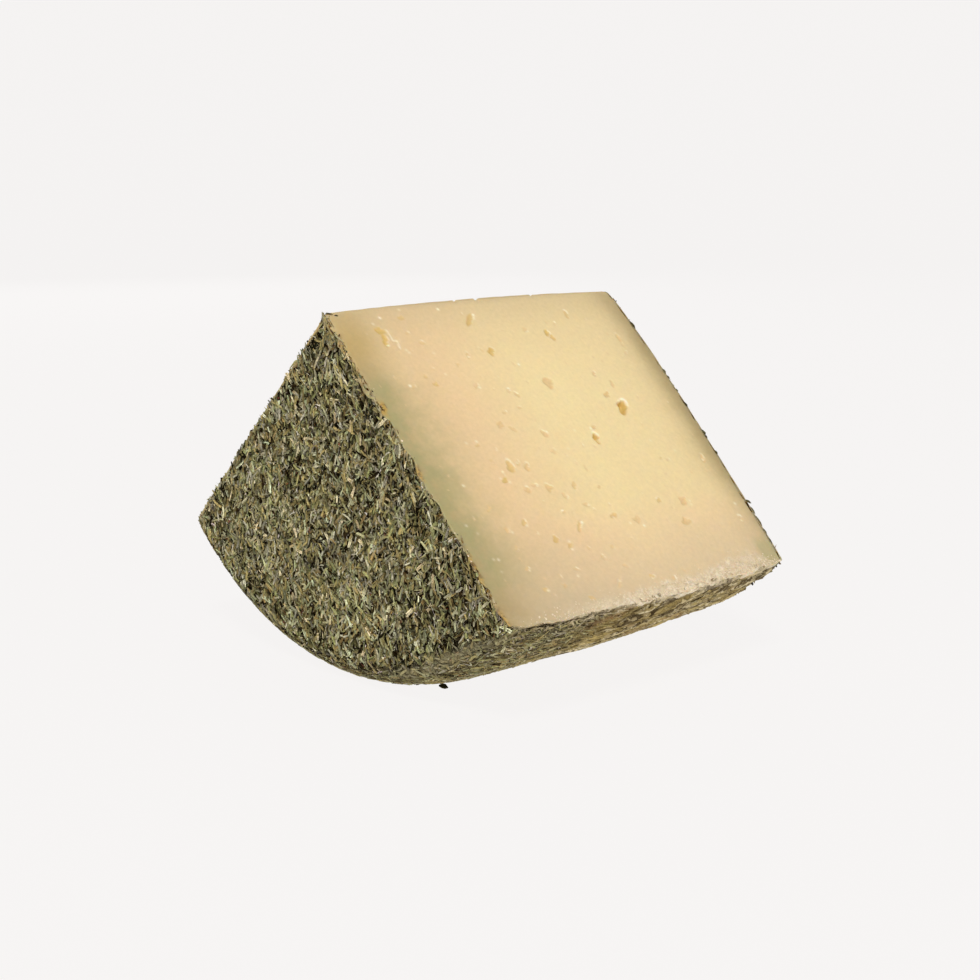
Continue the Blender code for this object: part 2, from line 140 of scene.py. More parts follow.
# Dark flakes on and beside the front cut, in millimetres: across, down, behind the cut, length,
# width, thickness, and heading in degrees from straight down, positive towards the left
LOOSE_FLAKES = (
    (0.5, 0.6, -0.15, 2.2, 0.5, 0.3, -76), (2.3, 1.3, -0.1, 1.1, 0.5, 0.25, -78),
    (99.5, 12.6, 0.2, 2.8, 1.0, 0.3, -4), (99.9, 29.4, 0.2, 1.7, 0.8, 0.3, -4),
    (99.9, 31.6, 0.2, 1.3, 0.6, 0.3, -8), (99.9, 36.2, 0.2, 1.1, 0.5, 0.3, 0),
    (99.7, 41.2, 0.2, 1.9, 0.7, 0.3, -4), (99.5, 50.8, 0.2, 2.0, 0.9, 0.3, -6),
    (99.3, 52.4, 0.2, 1.2, 0.6, 0.3, 0), (99.2, 57.7, 0.2, 1.4, 0.6, 0.3, -6),
    (98.9, 74.4, 0.2, 2.0, 1.0, 0.4, -50), (98.6, 77.2, 0.3, 2.6, 0.6, 0.4, 2),
    (98.3, 80.6, 0.3, 3.4, 0.6, 0.4, 3), (98.0, 84.0, 0.3, 2.0, 0.5, 0.4, 0),
    (97.7, 87.0, 0.3, 1.8, 0.5, 0.4, 2),
)
# The dark flake that hangs below the shoulder: place in the model, length, width, thickness
HANGING_FLAKE = (-0.0345, -0.0249, 0.0009, 0.0026, 0.0014, 0.0006)
HANGING_AXES = np.array([(0.3, 0.4, 0.87), (0.86, -0.4, -0.31), (0.4, -0.82, 0.4)])
# The herbs' hues, from reddish over yellow and green to mauve, as factors of their colour
HUES = (
    (0.0, (1.06, 0.68, 0.54)), (0.08, (1.05, 0.91, 0.78)), (0.3, (1.01, 0.96, 0.84)),
    (0.5, (0.82, 0.96, 0.86)), (0.62, (0.98, 0.95, 0.97)), (0.82, (0.9, 0.92, 1.12)),
    (1.0, (1.02, 0.87, 1.2)),
)
# The kinds of herb: the step that lays them, the piece, the key of their settings, a name in
# words, their number, darkest and palest colour, shape and seed; their lengths, widths,
# thicknesses and heights over the coat in millimetres, each from and to; how far they tilt in
# degrees, how far they bend, how dense they are on the rim, and their range of hues
Herb = collections.namedtuple(
    "Herb", "step piece key words count low high shape seed length width depth lift tilt bend rim hues")
HERBS = (
    # The dark needles lie deepest; their near-black tones are partly painted shade deep in the coat
    Herb("needles", "needles_dark", "dark", "dark needles", 20000, (10, 6, 2), (52, 40, 17),
         "sliver", 101, (1.0, 3.8), (0.3, 0.85), (0.3, 0.65), (-1.05, -0.25), 13, 0.16, 0.8, (0.0, 1.0)),
    Herb("needles", "needles_olive", "olive", "olive needles", 11500, (23, 17, 5), (188, 178, 124),
         "needle", 102, (1.4, 4.8), (0.3, 0.82), (0.3, 0.62), (-0.7, 0.25), 15, 0.2, 0.8, (0.04, 0.6)),
    Herb("needles", "needles_sage", "sage", "grey-green needles", 9500, (28, 23, 9), (206, 200, 158),
         "needle", 103, (1.4, 4.6), (0.28, 0.72), (0.26, 0.56), (-0.6, 0.3), 16, 0.2, 0.8, (0.3, 0.9)),
    Herb("bits", "bits_olive", "bit", "small olive bits", 20000, (21, 15, 4), (172, 162, 112),
         "sliver", 109, (0.5, 2.4), (0.2, 0.62), (0.2, 0.5), (-0.95, -0.15), 24, 0.16, 0.7, (0.0, 0.75)),
    Herb("bits", "bits_pale", "pale", "small pale bits", 7500, (128, 118, 82), (248, 240, 208),
         "sliver", 110, (0.6, 2.4), (0.18, 0.44), (0.2, 0.4), (-0.6, 0.15), 22, 0.16, 0.4, (0.4, 1.0)),
    Herb("stems", "stems", "straw", "chopped stems", 2200, (166, 150, 104), (255, 249, 216),
         "stem", 104, (1.3, 4.2), (0.32, 0.9), (0.25, 0.5), (-0.2, 0.2), 11, 0.08, 0.3, (0.1, 0.6)),
    Herb("stems", "fibres", "fibre", "thin curved fibres", 4500, (96, 87, 56), (236, 228, 192),
         "fibre", 108, (1.2, 4.4), (0.1, 0.22), (0.1, 0.2), (-0.3, 0.3), 14, 0.4, 0.4, (0.1, 0.8)),
    Herb("stems", "twigs", "twig", "long thin twigs", 1500, (34, 27, 11), (164, 154, 108),
         "twig", 111, (3.2, 8.5), (0.35, 0.75), (0.3, 0.55), (-0.45, 0.1), 5, 0.14, 0.5, (0.1, 0.65)),
    Herb("leaves", "leaves", "leaf", "leaf bits", 4200, (26, 20, 7), (182, 173, 118),
         "leaf", 105, (1.2, 3.9), (0.5, 1.2), (0.3, 0.7), (-0.5, 0.1), 18, 0.16, 0.5, (0.1, 0.7)),
    Herb("leaves", "russet_bits", "russet", "reddish bits", 900, (74, 42, 24), (172, 118, 82),
         "leaf", 106, (0.8, 2.6), (0.25, 0.7), (0.2, 0.4), (-0.35, 0.1), 12, 0.16, 0.6, (0.0, 1.0)),
    Herb("dust", "herb_dust", "dust", "fine bits", 20000, (16, 11, 4), (150, 138, 98),
         "sliver", 107, (0.25, 1.0), (0.13, 0.42), (0.12, 0.3), (-0.9, 0.0), 30, 0.16, 0.4, (0.5, 1.0)),
)


def linear(red, green, blue):
    """A colour from its values on a screen, 0 to 255, as linear light."""
    shares = np.array([red, green, blue]) / 255
    light = np.where(shares < 0.04045, shares / 12.92, ((shares + 0.055) / 1.055) ** 2.4)
    return tuple(float(value) for value in light)


def length(name, description, default, low=0.0):
    return FloatProperty(
        name=name, description=description, default=default, min=low, precision=5,
        subtype="DISTANCE", unit="LENGTH")


def share(name, description, default, top=1.0):
    return FloatProperty(
        name=name, description=description, default=default, min=0, max=top, subtype="FACTOR")


def power(name, description, default):
    return FloatProperty(name=name, description=description, default=default, subtype="UNSIGNED")


def angle(name, description, degrees):
    return FloatProperty(
        name=name, description=description, default=math.radians(degrees), subtype="ANGLE",
        unit="ROTATION")


def number(name, description, default):
    return IntProperty(
        name=name, description=description, default=default, min=1, subtype="UNSIGNED")


def lamp(name, description, default):
    return FloatProperty(name=name, description=description, default=default, unit="POWER")


def lens(name, description, default):
    return FloatProperty(name=name, description=description, default=default, unit="CAMERA")


def place(name, description, *default):
    return FloatVectorProperty(
        name=name, description=description, size=3, default=default, subtype="TRANSLATION",
        unit="LENGTH")


def colour(name, description, *shades):
    return FloatVectorProperty(
        name=name, description=description, default=linear(*shades), subtype="COLOR", size=3,
        min=0, max=1)


def child(name, description, kind):
    return PointerProperty(name=name, description=description, type=kind)


def settings(rows):
    """The settings of a group, each from its kind, its description and its values. They are
    named after their keys, such as Rim relief for rim_relief."""
    return {
        key: kind(key.replace("_", " ").capitalize(), *values)
        for key, (kind, *values) in rows.items()
    }


def herb_rows():
    """The number, the darkest and the palest colour of each kind of herb."""
    rows = {}
    for kind in HERBS:
        rows[kind.key + "_count"] = number, f"Number of {kind.words}", kind.count
        rows[kind.key + "_low"] = colour, f"Darkest of the {kind.words}", *kind.low
        rows[kind.key + "_high"] = colour, f"Palest of the {kind.words}", *kind.high
    return rows


class WheelSizes(bpy.types.PropertyGroup):
    """The form of the quarter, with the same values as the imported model."""

    __annotations__ = settings({
        "radius": (length, "Widest radius of the wheel", 0.0944),
        "height": (length, "Height of the wheel, from side to side", 0.0984),
        "cut_angle": (angle, "Angle between the two cuts", 90),
        "skew": (share, "How much wider the wheel is at the front cut", 0.0098),
        "oval": (share, "How much wider the wheel is at both cuts", 0.0034),
        "left_fall": (length, "How far the rim falls to the left side", 0.0070),
        "left_power": (power, "How late the rim starts to fall", 11.5),
        "left_share": (share, "Share of that fall at the front cut", 0.22),
        "left_reach": (angle, "How far round the sharp corner reaches", 11),
        "right_fall": (length, "How far the rim falls to the right side", 0.0021),
        "right_power": (power, "How late the rim starts to fall", 1.8),
        "edge_round": (length, "Radius between the rim and the sides", 0.0009),
        "right_dome": (length, "How far the right side bulges", 0.0021),
        "dome_power": (power, "Below 1, the bulge is nearer the sharp edge", 0.6),
        "right_taper": (length, "How far the right side leans in at the rim", 0.0006),
        "right_reach": (power, "How fast dome and taper die away", 4),
        "cut_crown": (length, "How far the cuts bulge beside the sharp edge", 0.0006),
        "rest_depth": (length, "How much the weight has pressed flat", 0.0010),
        "side_shift": (length, "How far the wheel's middle lies from the origin", -0.0005, -1),
    })


class PasteLook(bpy.types.PropertyGroup):
    """The paste: its mesh, its relief and its colours."""

    __annotations__ = settings({
        "columns": (number, "Cells across a cut", 268),
        "front_rows": (number, "Cells down the front cut", 262),
        "back_rows": (number, "Cells down the back cut", 70),
        "fine_eyes": (number, "Tiny eyes on each cut", 110),
        "back_eyes": (number, "Larger eyes on the back cut", 34),
        "edge_radius": (length, "Rounding of the sharp edge", 0.0004),
        "fold": (length, "How thick the paste's border beside the coat is", 0.0004),
        "left_border": (length, "From the form to the back cut's paste at the left", -0.0002, -0.01),
        "right_border": (length, "From the form to the paste at the right", 0.0001, -0.01),
        "rim_border": (length, "From the form to the paste at the rim's right part", 0.0001),
        "rim_coat": (length, "How much thicker the rim's coat is at the left", 0.0008),
        "border_waver": (length, "How far the borders waver", 0.0005),
        "grain_depth": (length, "Depth of the paste's grain", 0.000022),
        "crumb_depth": (length, "Relief of the crumbly band at the rim", 0.00022),
        "crumb_count": (number, "Loose crumbs on each cut", 1000),
        "cream": (colour, "The middle of the cut", 241, 217, 165),
        "butter": (colour, "Yellower clouds in the paste", 245, 223, 168),
        "rosy": (colour, "Pinkish clouds in the paste", 243, 211, 164),
        "left_rind": (colour, "The paste under the left coat", 178, 155, 110),
        # The paste darker towards the right side
        "right_rind": (colour, "The paste under the right coat", 174, 154, 110),
        "rim_rind": (colour, "The paste over the rim", 212, 191, 156),
        "green_rind": (colour, "Where the coat has tinted the paste", 172, 163, 116),
        "honey": (colour, "The yellow corner at the left", 196, 166, 102),
        "edge_tone": (colour, "The dried strip at the sharp edge", 206, 184, 142),
        # hollow and tan: the eye floors' tones, partly their own and partly painted shade and warm bounce
        # inside the hollows
        "hollow": (colour, "The ochre floor of some eyes", 214, 180, 98),
        "tan": (colour, "The floor of the other eyes", 231, 199, 149),
        # pale: the colour of the painted highlights beside the eyes and of the pale crease lines
        "pale": (colour, "Bright points beside the eyes", 255, 246, 216),
        "crumb": (colour, "The crumbly band at the rim", 244, 227, 198),
        # The darker speckles between the crumbs: painted shade
        "pit": (colour, "Between the crumbs", 218, 198, 163),
        "stain": (colour, "Brown spots beside the coat", 104, 68, 34),
        "ochre": (colour, "Yellow stains beside the coat", 190, 152, 74),
        "corner": (colour, "The smooth olive corner at the lower right", 190, 177, 132),
    })


class CoatLook(bpy.types.PropertyGroup):
    """The coat's own layer below the loose herbs."""

    __annotations__ = settings({
        "depth": (length, "How far below the form the layer lies", 0.0008),
        "cover": (length, "From the form to the paste below it", 0.0013),
        "thickness": (length, "Thickness of the layer", 0.0009),
        "relief": (length, "Height of the crags", 0.0004),
        "rim_relief": (length, "Height of the ridges along the rim", 0.0005),
        "rim_rise": (length, "How much higher the layer lies at the rim's right part", 0.0006),
        "crack_depth": (length, "Depth of the cracks along the rim", 0.0005),
        "recess": (length, "How far its edge lies behind the cut", 0.00015),
        "side_cell": (length, "Spacing of the mesh down the sides", 0.0020),
        "rim_cell": (length, "Spacing of the mesh across the rim", 0.0015),
        "round_cell": (length, "Spacing of the mesh round the wheel", 0.0005),
        "slant": (angle, "How far the streaks turn from the wheel's axis", 26),
        # The near-black tone between the herbs: painted shade
        "gap": (colour, "The dark layer between the herbs", 17, 12, 4),
        "ground": (colour, "Ground herb in the layer", 50, 40, 19),
        "pressed": (colour, "Herb smeared flat on the rim", 170, 150, 108),
        "ochre": (colour, "Yellow streaks on the rim", 190, 166, 102),
        "cream": (colour, "Pale streaks on the rim", 224, 208, 166),
        "dark": (colour, "Dark streaks on the rim", 70, 56, 33),
        "russet": (colour, "Reddish streaks on the rim", 158, 110, 76),
        "smear": (colour, "The smooth grey-green band at the near shoulder", 166, 158, 124),
        "stain": (colour, "Ochre stains at the coat's cut edge", 168, 128, 62),
        "crumb": (colour, "Paste crumbs over the rim's edge", 226, 208, 174),
    })


class HerbLook(bpy.types.PropertyGroup):
    """How the herbs lie, how many of each kind there are, and their colours."""

    __annotations__ = settings({
        "side_scatter": (angle, "Spread of the herbs' directions on the sides", 36),
        "rim_scatter": (angle, "Spread of the herbs' directions on the rim", 11),
        "rim_slant": (angle, "How far the herbs on the rim turn from the wheel's axis", 16),
        "flow": (angle, "How far the herbs' direction wanders from place to place", 26),
        "mound": (length, "Height of the low mounds on the sides", 0.0004),
        "mound_width": (length, "Size of the mounds", 0.0042),
        # Paler herbs on the mounds: painted light on the coat's relief
        "mound_tint": (share, "How much paler the mounds are", 0.22),
        "front_margin": (length, "How far the coat ends behind the front cut", 0.0001, -0.01),
        "back_margin": (length, "How far the coat ends behind the back cut", -0.0002, -0.01),
        "right_margin": (length, "How far the right coat ends behind the cuts", 0.0011),
        "raggedness": (length, "How unevenly the coat ends at the cuts", 0.0004),
        "overhang": (length, "How far a few herbs stand over the cuts", 0.0009),
        "bloom": (colour, "Grey bloom on the herbs", 136, 132, 118),
        "earth": (colour, "Brown patches in the coat", 72, 50, 26),
    } | herb_rows())


class StudioLook(bpy.types.PropertyGroup):
    """Floor, lights and camera."""

    __annotations__ = settings({
        "floor": (colour, "The pale floor", 247, 245, 244),
        "glow": (share, "Share of the floor's light that doesn't come from the lamps", 0.965),
        "floor_reach": (length, "Radius of the flat floor", 2.2),
        "wall_height": (length, "How far the floor sweeps up", 0.9),
        "key_power": (lamp, "Power of the main light, from the upper left", 12.2),
        "fill_power": (lamp, "Power of the soft light from the right front", 1.8),
        "top_power": (lamp, "Power of the light from above", 1.0),
        "back_power": (lamp, "Power of the soft light from behind", 5.0),
        "sky": (share, "Strength of the light from all round", 0.08, 10),
        "focal": (lens, "Focal length of the lens", 63.67),
        "camera_place": (place, "Camera from the middle of the sharp edge", -0.30291, -0.34221, 0.03968),
        "camera_tilt": (angle, "How far the camera looks down", 11.1903),
        "camera_heading": (angle, "How far the camera turns to the right", 41.9457),
    })


class CheeseSettings(bpy.types.PropertyGroup):
    """All settings of the cheese."""

    __annotations__ = settings({
        "wheel": (child, "Form of the quarter", WheelSizes),
        "paste": (child, "The paste", PasteLook),
        "coat": (child, "The coat's layer", CoatLook),
        "herbs": (child, "The loose herbs", HerbLook),
        "studio": (child, "Floor, lights and camera", StudioLook),
    })


def ease(value):
    """3t^2 - 2t^3, for t held between 0 and 1."""
    t = np.clip(value, 0, 1)
    return t * t * (3 - 2 * t)


def lattice_values(cells, seed):
    """A fixed random value between -1 and 1 for each corner of a cubic lattice: the corner's
    three numbers and the seed are mixed by products and shifts, and the lowest bits are kept."""
    mixed = cells.astype(np.int64).astype(np.uint64)
    key = mixed[..., 0] * np.uint64(73856093)
    key = key ^ (mixed[..., 1] * np.uint64(19349663))
    key = key ^ (mixed[..., 2] * np.uint64(83492791))
    key = key ^ np.uint64(seed * 2654435761 % 2**32)
    key = (key ^ (key >> np.uint64(13))) * np.uint64(1274126177)
    key = (key ^ (key >> np.uint64(16))) & np.uint64(0xFFFFFF)
    return key.astype(float) / 0x800000 - 1


def noise(points, size, seed):
    """Smooth noise: random values at the corners of a cubic lattice of the given size,
    blended by 3t^2 - 2t^3 along each axis."""
    place = np.asarray(points, float) / size
    cell = np.floor(place)
    part = ease(place - cell)
    total = np.zeros(place.shape[:-1])
    for corner in itertools.product((0, 1), repeat=3):
        weight = np.prod(np.where(corner, part, 1 - part), axis=-1)
        total += weight * lattice_values(cell + corner, seed)
    return total


def rough(points, size, seed, octaves=3):
    """Noise plus the same at half the size and half the height, and so on."""
    total = 0
    for step in range(octaves):
        total = total + noise(points, size / 2**step, seed + step) / 2**step
    return total


def unit(vectors):
    return vectors / np.linalg.norm(vectors, axis=-1, keepdims=True)


class Wheel:
    """The quarter's form, worked out from its sizes.

    Its skin is a sheet of two parameters: the meridian, from 0 to 3, runs from the sharp edge
    down the left side (0 to 1), across the rim (1 to 2) and up the right side (2 to 3), and the
    angle runs round the wheel from cut to cut.
    """

    def __init__(self, sizes):
        self.sizes = sizes
        self.half = sizes.height / 2
        self.half_cut = sizes.cut_angle / 2
        shift = sizes.radius * sizes.skew * math.sin(self.half_cut)
        self.apex = np.array([sizes.side_shift, shift, sizes.radius - sizes.rest_depth])
        turns = np.linspace(0, math.pi, 801)
        self.rim_x = -self.half * np.cos(turns)
        fall = self.fall(self.rim_x)
        steps = np.hypot(np.diff(self.rim_x), np.diff(fall))
        self.rim_length = float(steps.sum())
        self.rim_share = np.concatenate(([0], np.cumsum(steps))) / self.rim_length

    def radius(self, turn):
        """R(1 - skew s + oval s^2), where s is the angle as a share of the back cut's."""
        part = turn / self.half_cut
        return self.sizes.radius * (1 - self.sizes.skew * part + self.sizes.oval * part**2)

    def fall(self, x, turn=0.0):
        """How far the rim lies inside the widest radius: a power of the distance from the
        middle, less of it at the front's left corner, plus a quarter circle at the very edge."""
        sizes = self.sizes
        part = np.abs(x) / self.half
        corner = ease((turn + self.half_cut) / sizes.left_reach)
        corner = sizes.left_share + (1 - sizes.left_share) * corner
        left = sizes.left_fall * corner * part**sizes.left_power
        right = sizes.right_fall * part**sizes.right_power
        inset = np.maximum(0, sizes.edge_round - (self.half - np.abs(x)))
        edge = sizes.edge_round - np.sqrt(np.maximum(0, sizes.edge_round**2 - inset**2))
        return np.where(x < 0, left, right) + edge

    def bulge(self, x, radius):
        """How far the right side's dome and taper move a point along the axis."""
        sizes = self.sizes
        part = np.clip(radius / sizes.radius, 0, 1)
        reach = np.maximum(0, x / self.half) ** sizes.right_reach
        dome = sizes.right_dome * np.sin(math.pi * part**sizes.dome_power)
        return reach * (dome - sizes.right_taper * part**2)

    def set_down(self, x, radius, turn):
        """The point at a place across the wheel, radius and angle, standing on the rim."""
        x = x + self.bulge(x, radius) + self.apex[0]
        y = radius * np.sin(turn) + self.apex[1]
        z = self.apex[2] - radius * np.cos(turn)
        return np.stack(np.broadcast_arrays(x, y, z), axis=-1)

    def skin(self, meridian, turn, depth=0.0):
        """Points of the skin and the way it faces, at a depth below it."""
        meridian, turn = np.broadcast_arrays(meridian, turn)
        across = np.interp(meridian, 1 + self.rim_share, self.rim_x)
        step = 2e-5
        slope = (self.fall(across + step, turn) - self.fall(across - step, turn)) / (2 * step)
        slope = np.where(np.abs(across) > self.half - step, np.sign(across) * 30, slope)
        side = (meridian <= 1) | (meridian >= 2)
        steep = np.hypot(slope, 1)
        axial = np.where(side, np.sign(across), slope / steep)
        radial = np.where(side, 0, 1 / steep)
        part = np.clip(np.minimum(meridian, 3 - meridian), 0, 1)
        radius = part * (self.radius(turn) - self.fall(across, turn))
        points = self.set_down(across - axial * depth, radius - radial * depth, turn)
        normals = np.stack([axial, radial * np.sin(turn), -radial * np.cos(turn)], axis=-1)
        return points, normals

    def cut_normal(self, side):
        """The way a cut faces. The front's side is -1 and the back's 1."""
        return np.array([0, side * math.cos(self.half_cut), math.sin(self.half_cut)])

    def on_cut(self, side, across, down, lift):
        """Points at places across and down a cut, lifted off it."""
        x = across - self.half
        for _ in range(3):
            x = across - self.half - self.bulge(x, down)
        points = self.set_down(x, down, side * self.half_cut)
        return points + np.asarray(lift)[..., None] * self.cut_normal(side)

    def over_cuts(self, points):
        """How far points stand out of the front and the back cut's plane."""
        return [(points - self.apex) @ self.cut_normal(side) for side in (-1, 1)]


def wheel_of(context):
    return Wheel(context.scene.cheese.wheel)


def grid_faces(rows, columns, first=0):
    """The quads of a grid of points, row by row."""
    corner = first + np.arange(rows - 1)[:, None] * columns + np.arange(columns - 1)
    quads = np.stack([corner, corner + columns, corner + columns + 1, corner + 1], axis=-1)
    return quads.reshape(-1, 4)


def weld(points, quads):
    """Merges points at the same place. A quad that loses a corner becomes a triangle."""
    keys = np.round(points / 1e-7).astype(np.int64)
    _, first, group = np.unique(keys, axis=0, return_index=True, return_inverse=True)
    quads = group.reshape(-1)[quads]
    doubled = quads == np.roll(quads, -1, axis=1)
    whole = ~doubled.any(axis=1)
    short = doubled.sum(axis=1) == 1
    triangles = quads[short][~doubled[short]].reshape(-1, 3)
    return first, quads[whole], triangles


def make_mesh(name, points, faces, attributes, smooth=True):
    """A mesh object at the origin. faces is a list of arrays, each with its own corner count."""
    mesh = bpy.data.meshes.new(name)
    corners = np.concatenate([part.reshape(-1) for part in faces]).astype(np.int32)
    counts = np.concatenate([np.full(len(part), part.shape[1]) for part in faces])
    starts = np.concatenate(([0], np.cumsum(counts)[:-1])).astype(np.int32)
    mesh.vertices.add(len(points))
    mesh.vertices.foreach_set("co", np.asarray(points, np.float32).reshape(-1))
    mesh.loops.add(len(corners))
    mesh.loops.foreach_set("vertex_index", corners)
    mesh.polygons.add(len(counts))
    mesh.polygons.foreach_set("loop_start", starts)
    mesh.polygons.foreach_set("use_smooth", np.full(len(counts), smooth))
    for key, values in attributes.items():
        data = mesh.attributes.new(key, "FLOAT", "POINT").data
        data.foreach_set("value", np.asarray(values, np.float32).reshape(-1))
    mesh.update(calc_edges=True)
    if mesh.validate():
        raise RuntimeError(f"{name} has faces that can't be built")
    thing = bpy.data.objects.new(name, mesh)
    bpy.context.scene.collection.objects.link(thing)
    return thing


def finish_piece(thing, material, *nodes):
    """Gives a piece its material and says what carries it."""
    thing.data.materials.append(material)
    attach(thing, "root")
    if nodes:
        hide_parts(*nodes)


class Paint:
    """A new material, its nodes and its tone, which is built up in layers.

    The nodes read the object's own coordinates. A value is a number, a colour, another node's
    output, or the name of a mark that the mesh carries.
    """

    def __init__(self, name):
        self.material = bpy.data.materials.new(name)
        self.material.use_nodes = True
        self.tree = self.material.node_tree
        self.shader = self.tree.nodes["Principled BSDF"]
        self.place = self.node("TexCoord").outputs["Object"]
        self.tone = None

    def put(self, socket, value):
        if isinstance(value, str):
            value = self.node("Attribute", attribute_name=value).outputs["Fac"]
        if isinstance(value, bpy.types.NodeSocket):
            self.tree.links.new(value, socket)
        else:
            socket.default_value = (*value, 1) if socket.type == "RGBA" else value

    def node(self, kind, inputs=None, **settings):
        made = self.tree.nodes.new("ShaderNode" + kind)
        for key, value in settings.items():
            setattr(made, key, value)
        for key, value in (inputs or {}).items():
            self.put(made.inputs[key], value)
        return made

    def blend(self, factor, first, second, mode="MIX"):
        inputs = {0: factor, 6: first, 7: second}
        return self.node("Mix", inputs, data_type="RGBA", blend_type=mode).outputs[2]

    def over(self, factor, value, mode="MIX"):
        """Lays a colour over the tone so far."""
        self.tone = self.blend(factor, self.tone, value, mode)

    def ramp(self, factor, *stops):
        """A colour ramp of places and colours. A plain number stands for a grey."""
        made = self.node("ValToRGB", {"Fac": factor})
        elements = made.color_ramp.elements
        while len(elements) < len(stops):
            elements.new(1)
        for element, (place, value) in zip(elements, stops):
            element.position = place
            element.color = (*value, 1) if hasattr(value, "__len__") else (value, value, value, 1)
        return made.outputs["Color"]

    def sums(self, operation, first, second, clamp=False):
        inputs = {0: first, 1: second}
        return self.node("Math", inputs, operation=operation, use_clamp=clamp).outputs[0]

    def times(self, first, second):
        return self.sums("MULTIPLY", first, second)

    def plus(self, first, second):
        return self.sums("ADD", first, second)

    def cloud(self, scale, detail=2.0, roughness=0.5, place=None):
        """Noise, on the object's coordinates unless a place is given."""
        place = self.place if place is None else place
        inputs = {"Vector": place, "Scale": scale, "Detail": detail, "Roughness": roughness}
        return self.node("TexNoise", inputs).outputs["Fac"]

    def near(self, distance, reach, *stops):
        """A ramp over a distance in millimetres, up to a reach. The stops are millimetres too."""
        shares = [(place / reach, value) for place, value in stops]
        return self.ramp(self.sums("DIVIDE", distance, reach, True), *shares)

    def swayed(self, distance, wave, width):
        """A distance moved to and fro by a noise value."""
        return self.plus(distance, self.times(self.sums("SUBTRACT", wave, 0.5), width))

    def finish(self, inputs, height=None, strength=1.0, depth=0.001):
        """Gives the shader its tone, its other inputs and a bump."""
        for key, value in {"Base Color": self.tone, **inputs}.items():
            self.put(self.shader.inputs[key], value)
        if height is not None:
            bump = self.node("Bump", {"Height": height, "Strength": strength, "Distance": depth})
            self.put(self.shader.inputs["Normal"], bump.outputs[0])
        return self.material


def paste_material(look):
    """Cream paste. Its tone falls off towards the coat, over distances that the mesh carries."""
    paint = Paint("paste")
    cloud, ramp, times, near, over = paint.cloud, paint.ramp, paint.times, paint.near, paint.over
    broad = cloud(40, 3)
    patchy = cloud(170, 4, 0.6)
    speckle = cloud(900, 3, 0.6)
    left = paint.swayed(paint.swayed("from_left", patchy, 2.5), broad, 12)
    rim = paint.swayed(paint.swayed("from_rim", patchy, 4), broad, 8)
    right = paint.swayed("from_right", patchy, 3)
    paint.tone = paint.blend("peach", look.cream, look.rosy)
    over(times("butter", ramp(cloud(62, 2), (0.36, 0.45), (0.62, 1.0))), look.butter)
    over(near(rim, 27, (0, 0.88), (3.2, 0.7), (6.2, 0.56), (9.2, 0.48), (13.2, 0.34), (19.2, 0.13),
              (27, 0.0)), look.rim_rind)
    toward = near(
        left, 50, (0, 1.0), (1, 0.95), (2.5, 0.89), (5, 0.78), (8, 0.56), (12, 0.36), (18, 0.21),
        (26, 0.12), (36, 0.06), (50, 0.0))
    over(toward, look.left_rind)
    blotch = ramp(cloud(120, 3, 0.6), (0.36, 0.25), (0.58, 1.0))
    over(times(times(toward, "green"), blotch), look.green_rind)
    flecks = ramp(cloud(270, 4, 0.65), (0.5, 0.0), (0.6, 1.0))
    beside = near(left, 9, (0, 0.35), (1.5, 0.7), (4.5, 0.55), (9, 0.0))
    over(times(times(flecks, beside), "green"), look.green_rind)
    over("honey", look.honey)
    # Darker towards the right side, over its last 24 mm
    over(near(right, 24, (0, 1.0), (3.0, 0.85), (4.8, 0.62), (7.6, 0.3), (11.4, 0.1), (17, 0.02),
              (24, 0.0)), look.right_rind)
    over(near("from_edge", 22, (0, 0.8), (2, 0.5), (5, 0.4), (10, 0.18), (22, 0.0)), look.edge_tone)
    spots = ramp(cloud(210, 3, 0.6), (0.54, 0.0), (0.64, 1.0))
    over(times(spots, near("from_left", 1.6, (0, 0.55), (1.6, 0.0))), look.stain)
    over("stain", paint.blend(ramp(speckle, (0.42, 0.9), (0.52, 0.0)), look.ochre, look.stain))
    # The eye floors: partly their own tone, partly painted shade inside the hollows
    over("hollow", look.tan)
    over("ochre", look.hollow)
    over("corner", look.corner)
    # Darker speckles between the crumbs: painted shade
    crumbly = paint.blend(ramp(cloud(1100, 4, 0.7), (0.4, 0.0), (0.6, 1.0)), look.pit, look.crumb)
    over(times("crumb", ramp(cloud(330, 3, 0.6), (0.38, 0.35), (0.56, 1.0))), crumbly)
    # Painted highlights: bright crescents beside the eyes and the named glints, with the pale crease lines
    over("pale", look.pale)
    over(1.0, ramp(speckle, (0.3, 0.96), (0.7, 1.03)), "MULTIPLY")
    shreds = times(times(cloud(900, 3, 0.6), "crumb"), 11.0)
    fine = paint.plus(paint.plus(cloud(1300, 4, 0.6), cloud(380, 2)), shreds)
    return paint.finish({
        "Roughness": ramp(patchy, (0.3, 0.46), (0.7, 0.62)), "Specular IOR Level": 0.3,
        "Subsurface Weight": 0.3, "Subsurface Radius": (1.0, 0.55, 0.22),
        "Subsurface Scale": 0.002,
    }, fine, 0.16, 0.00015)


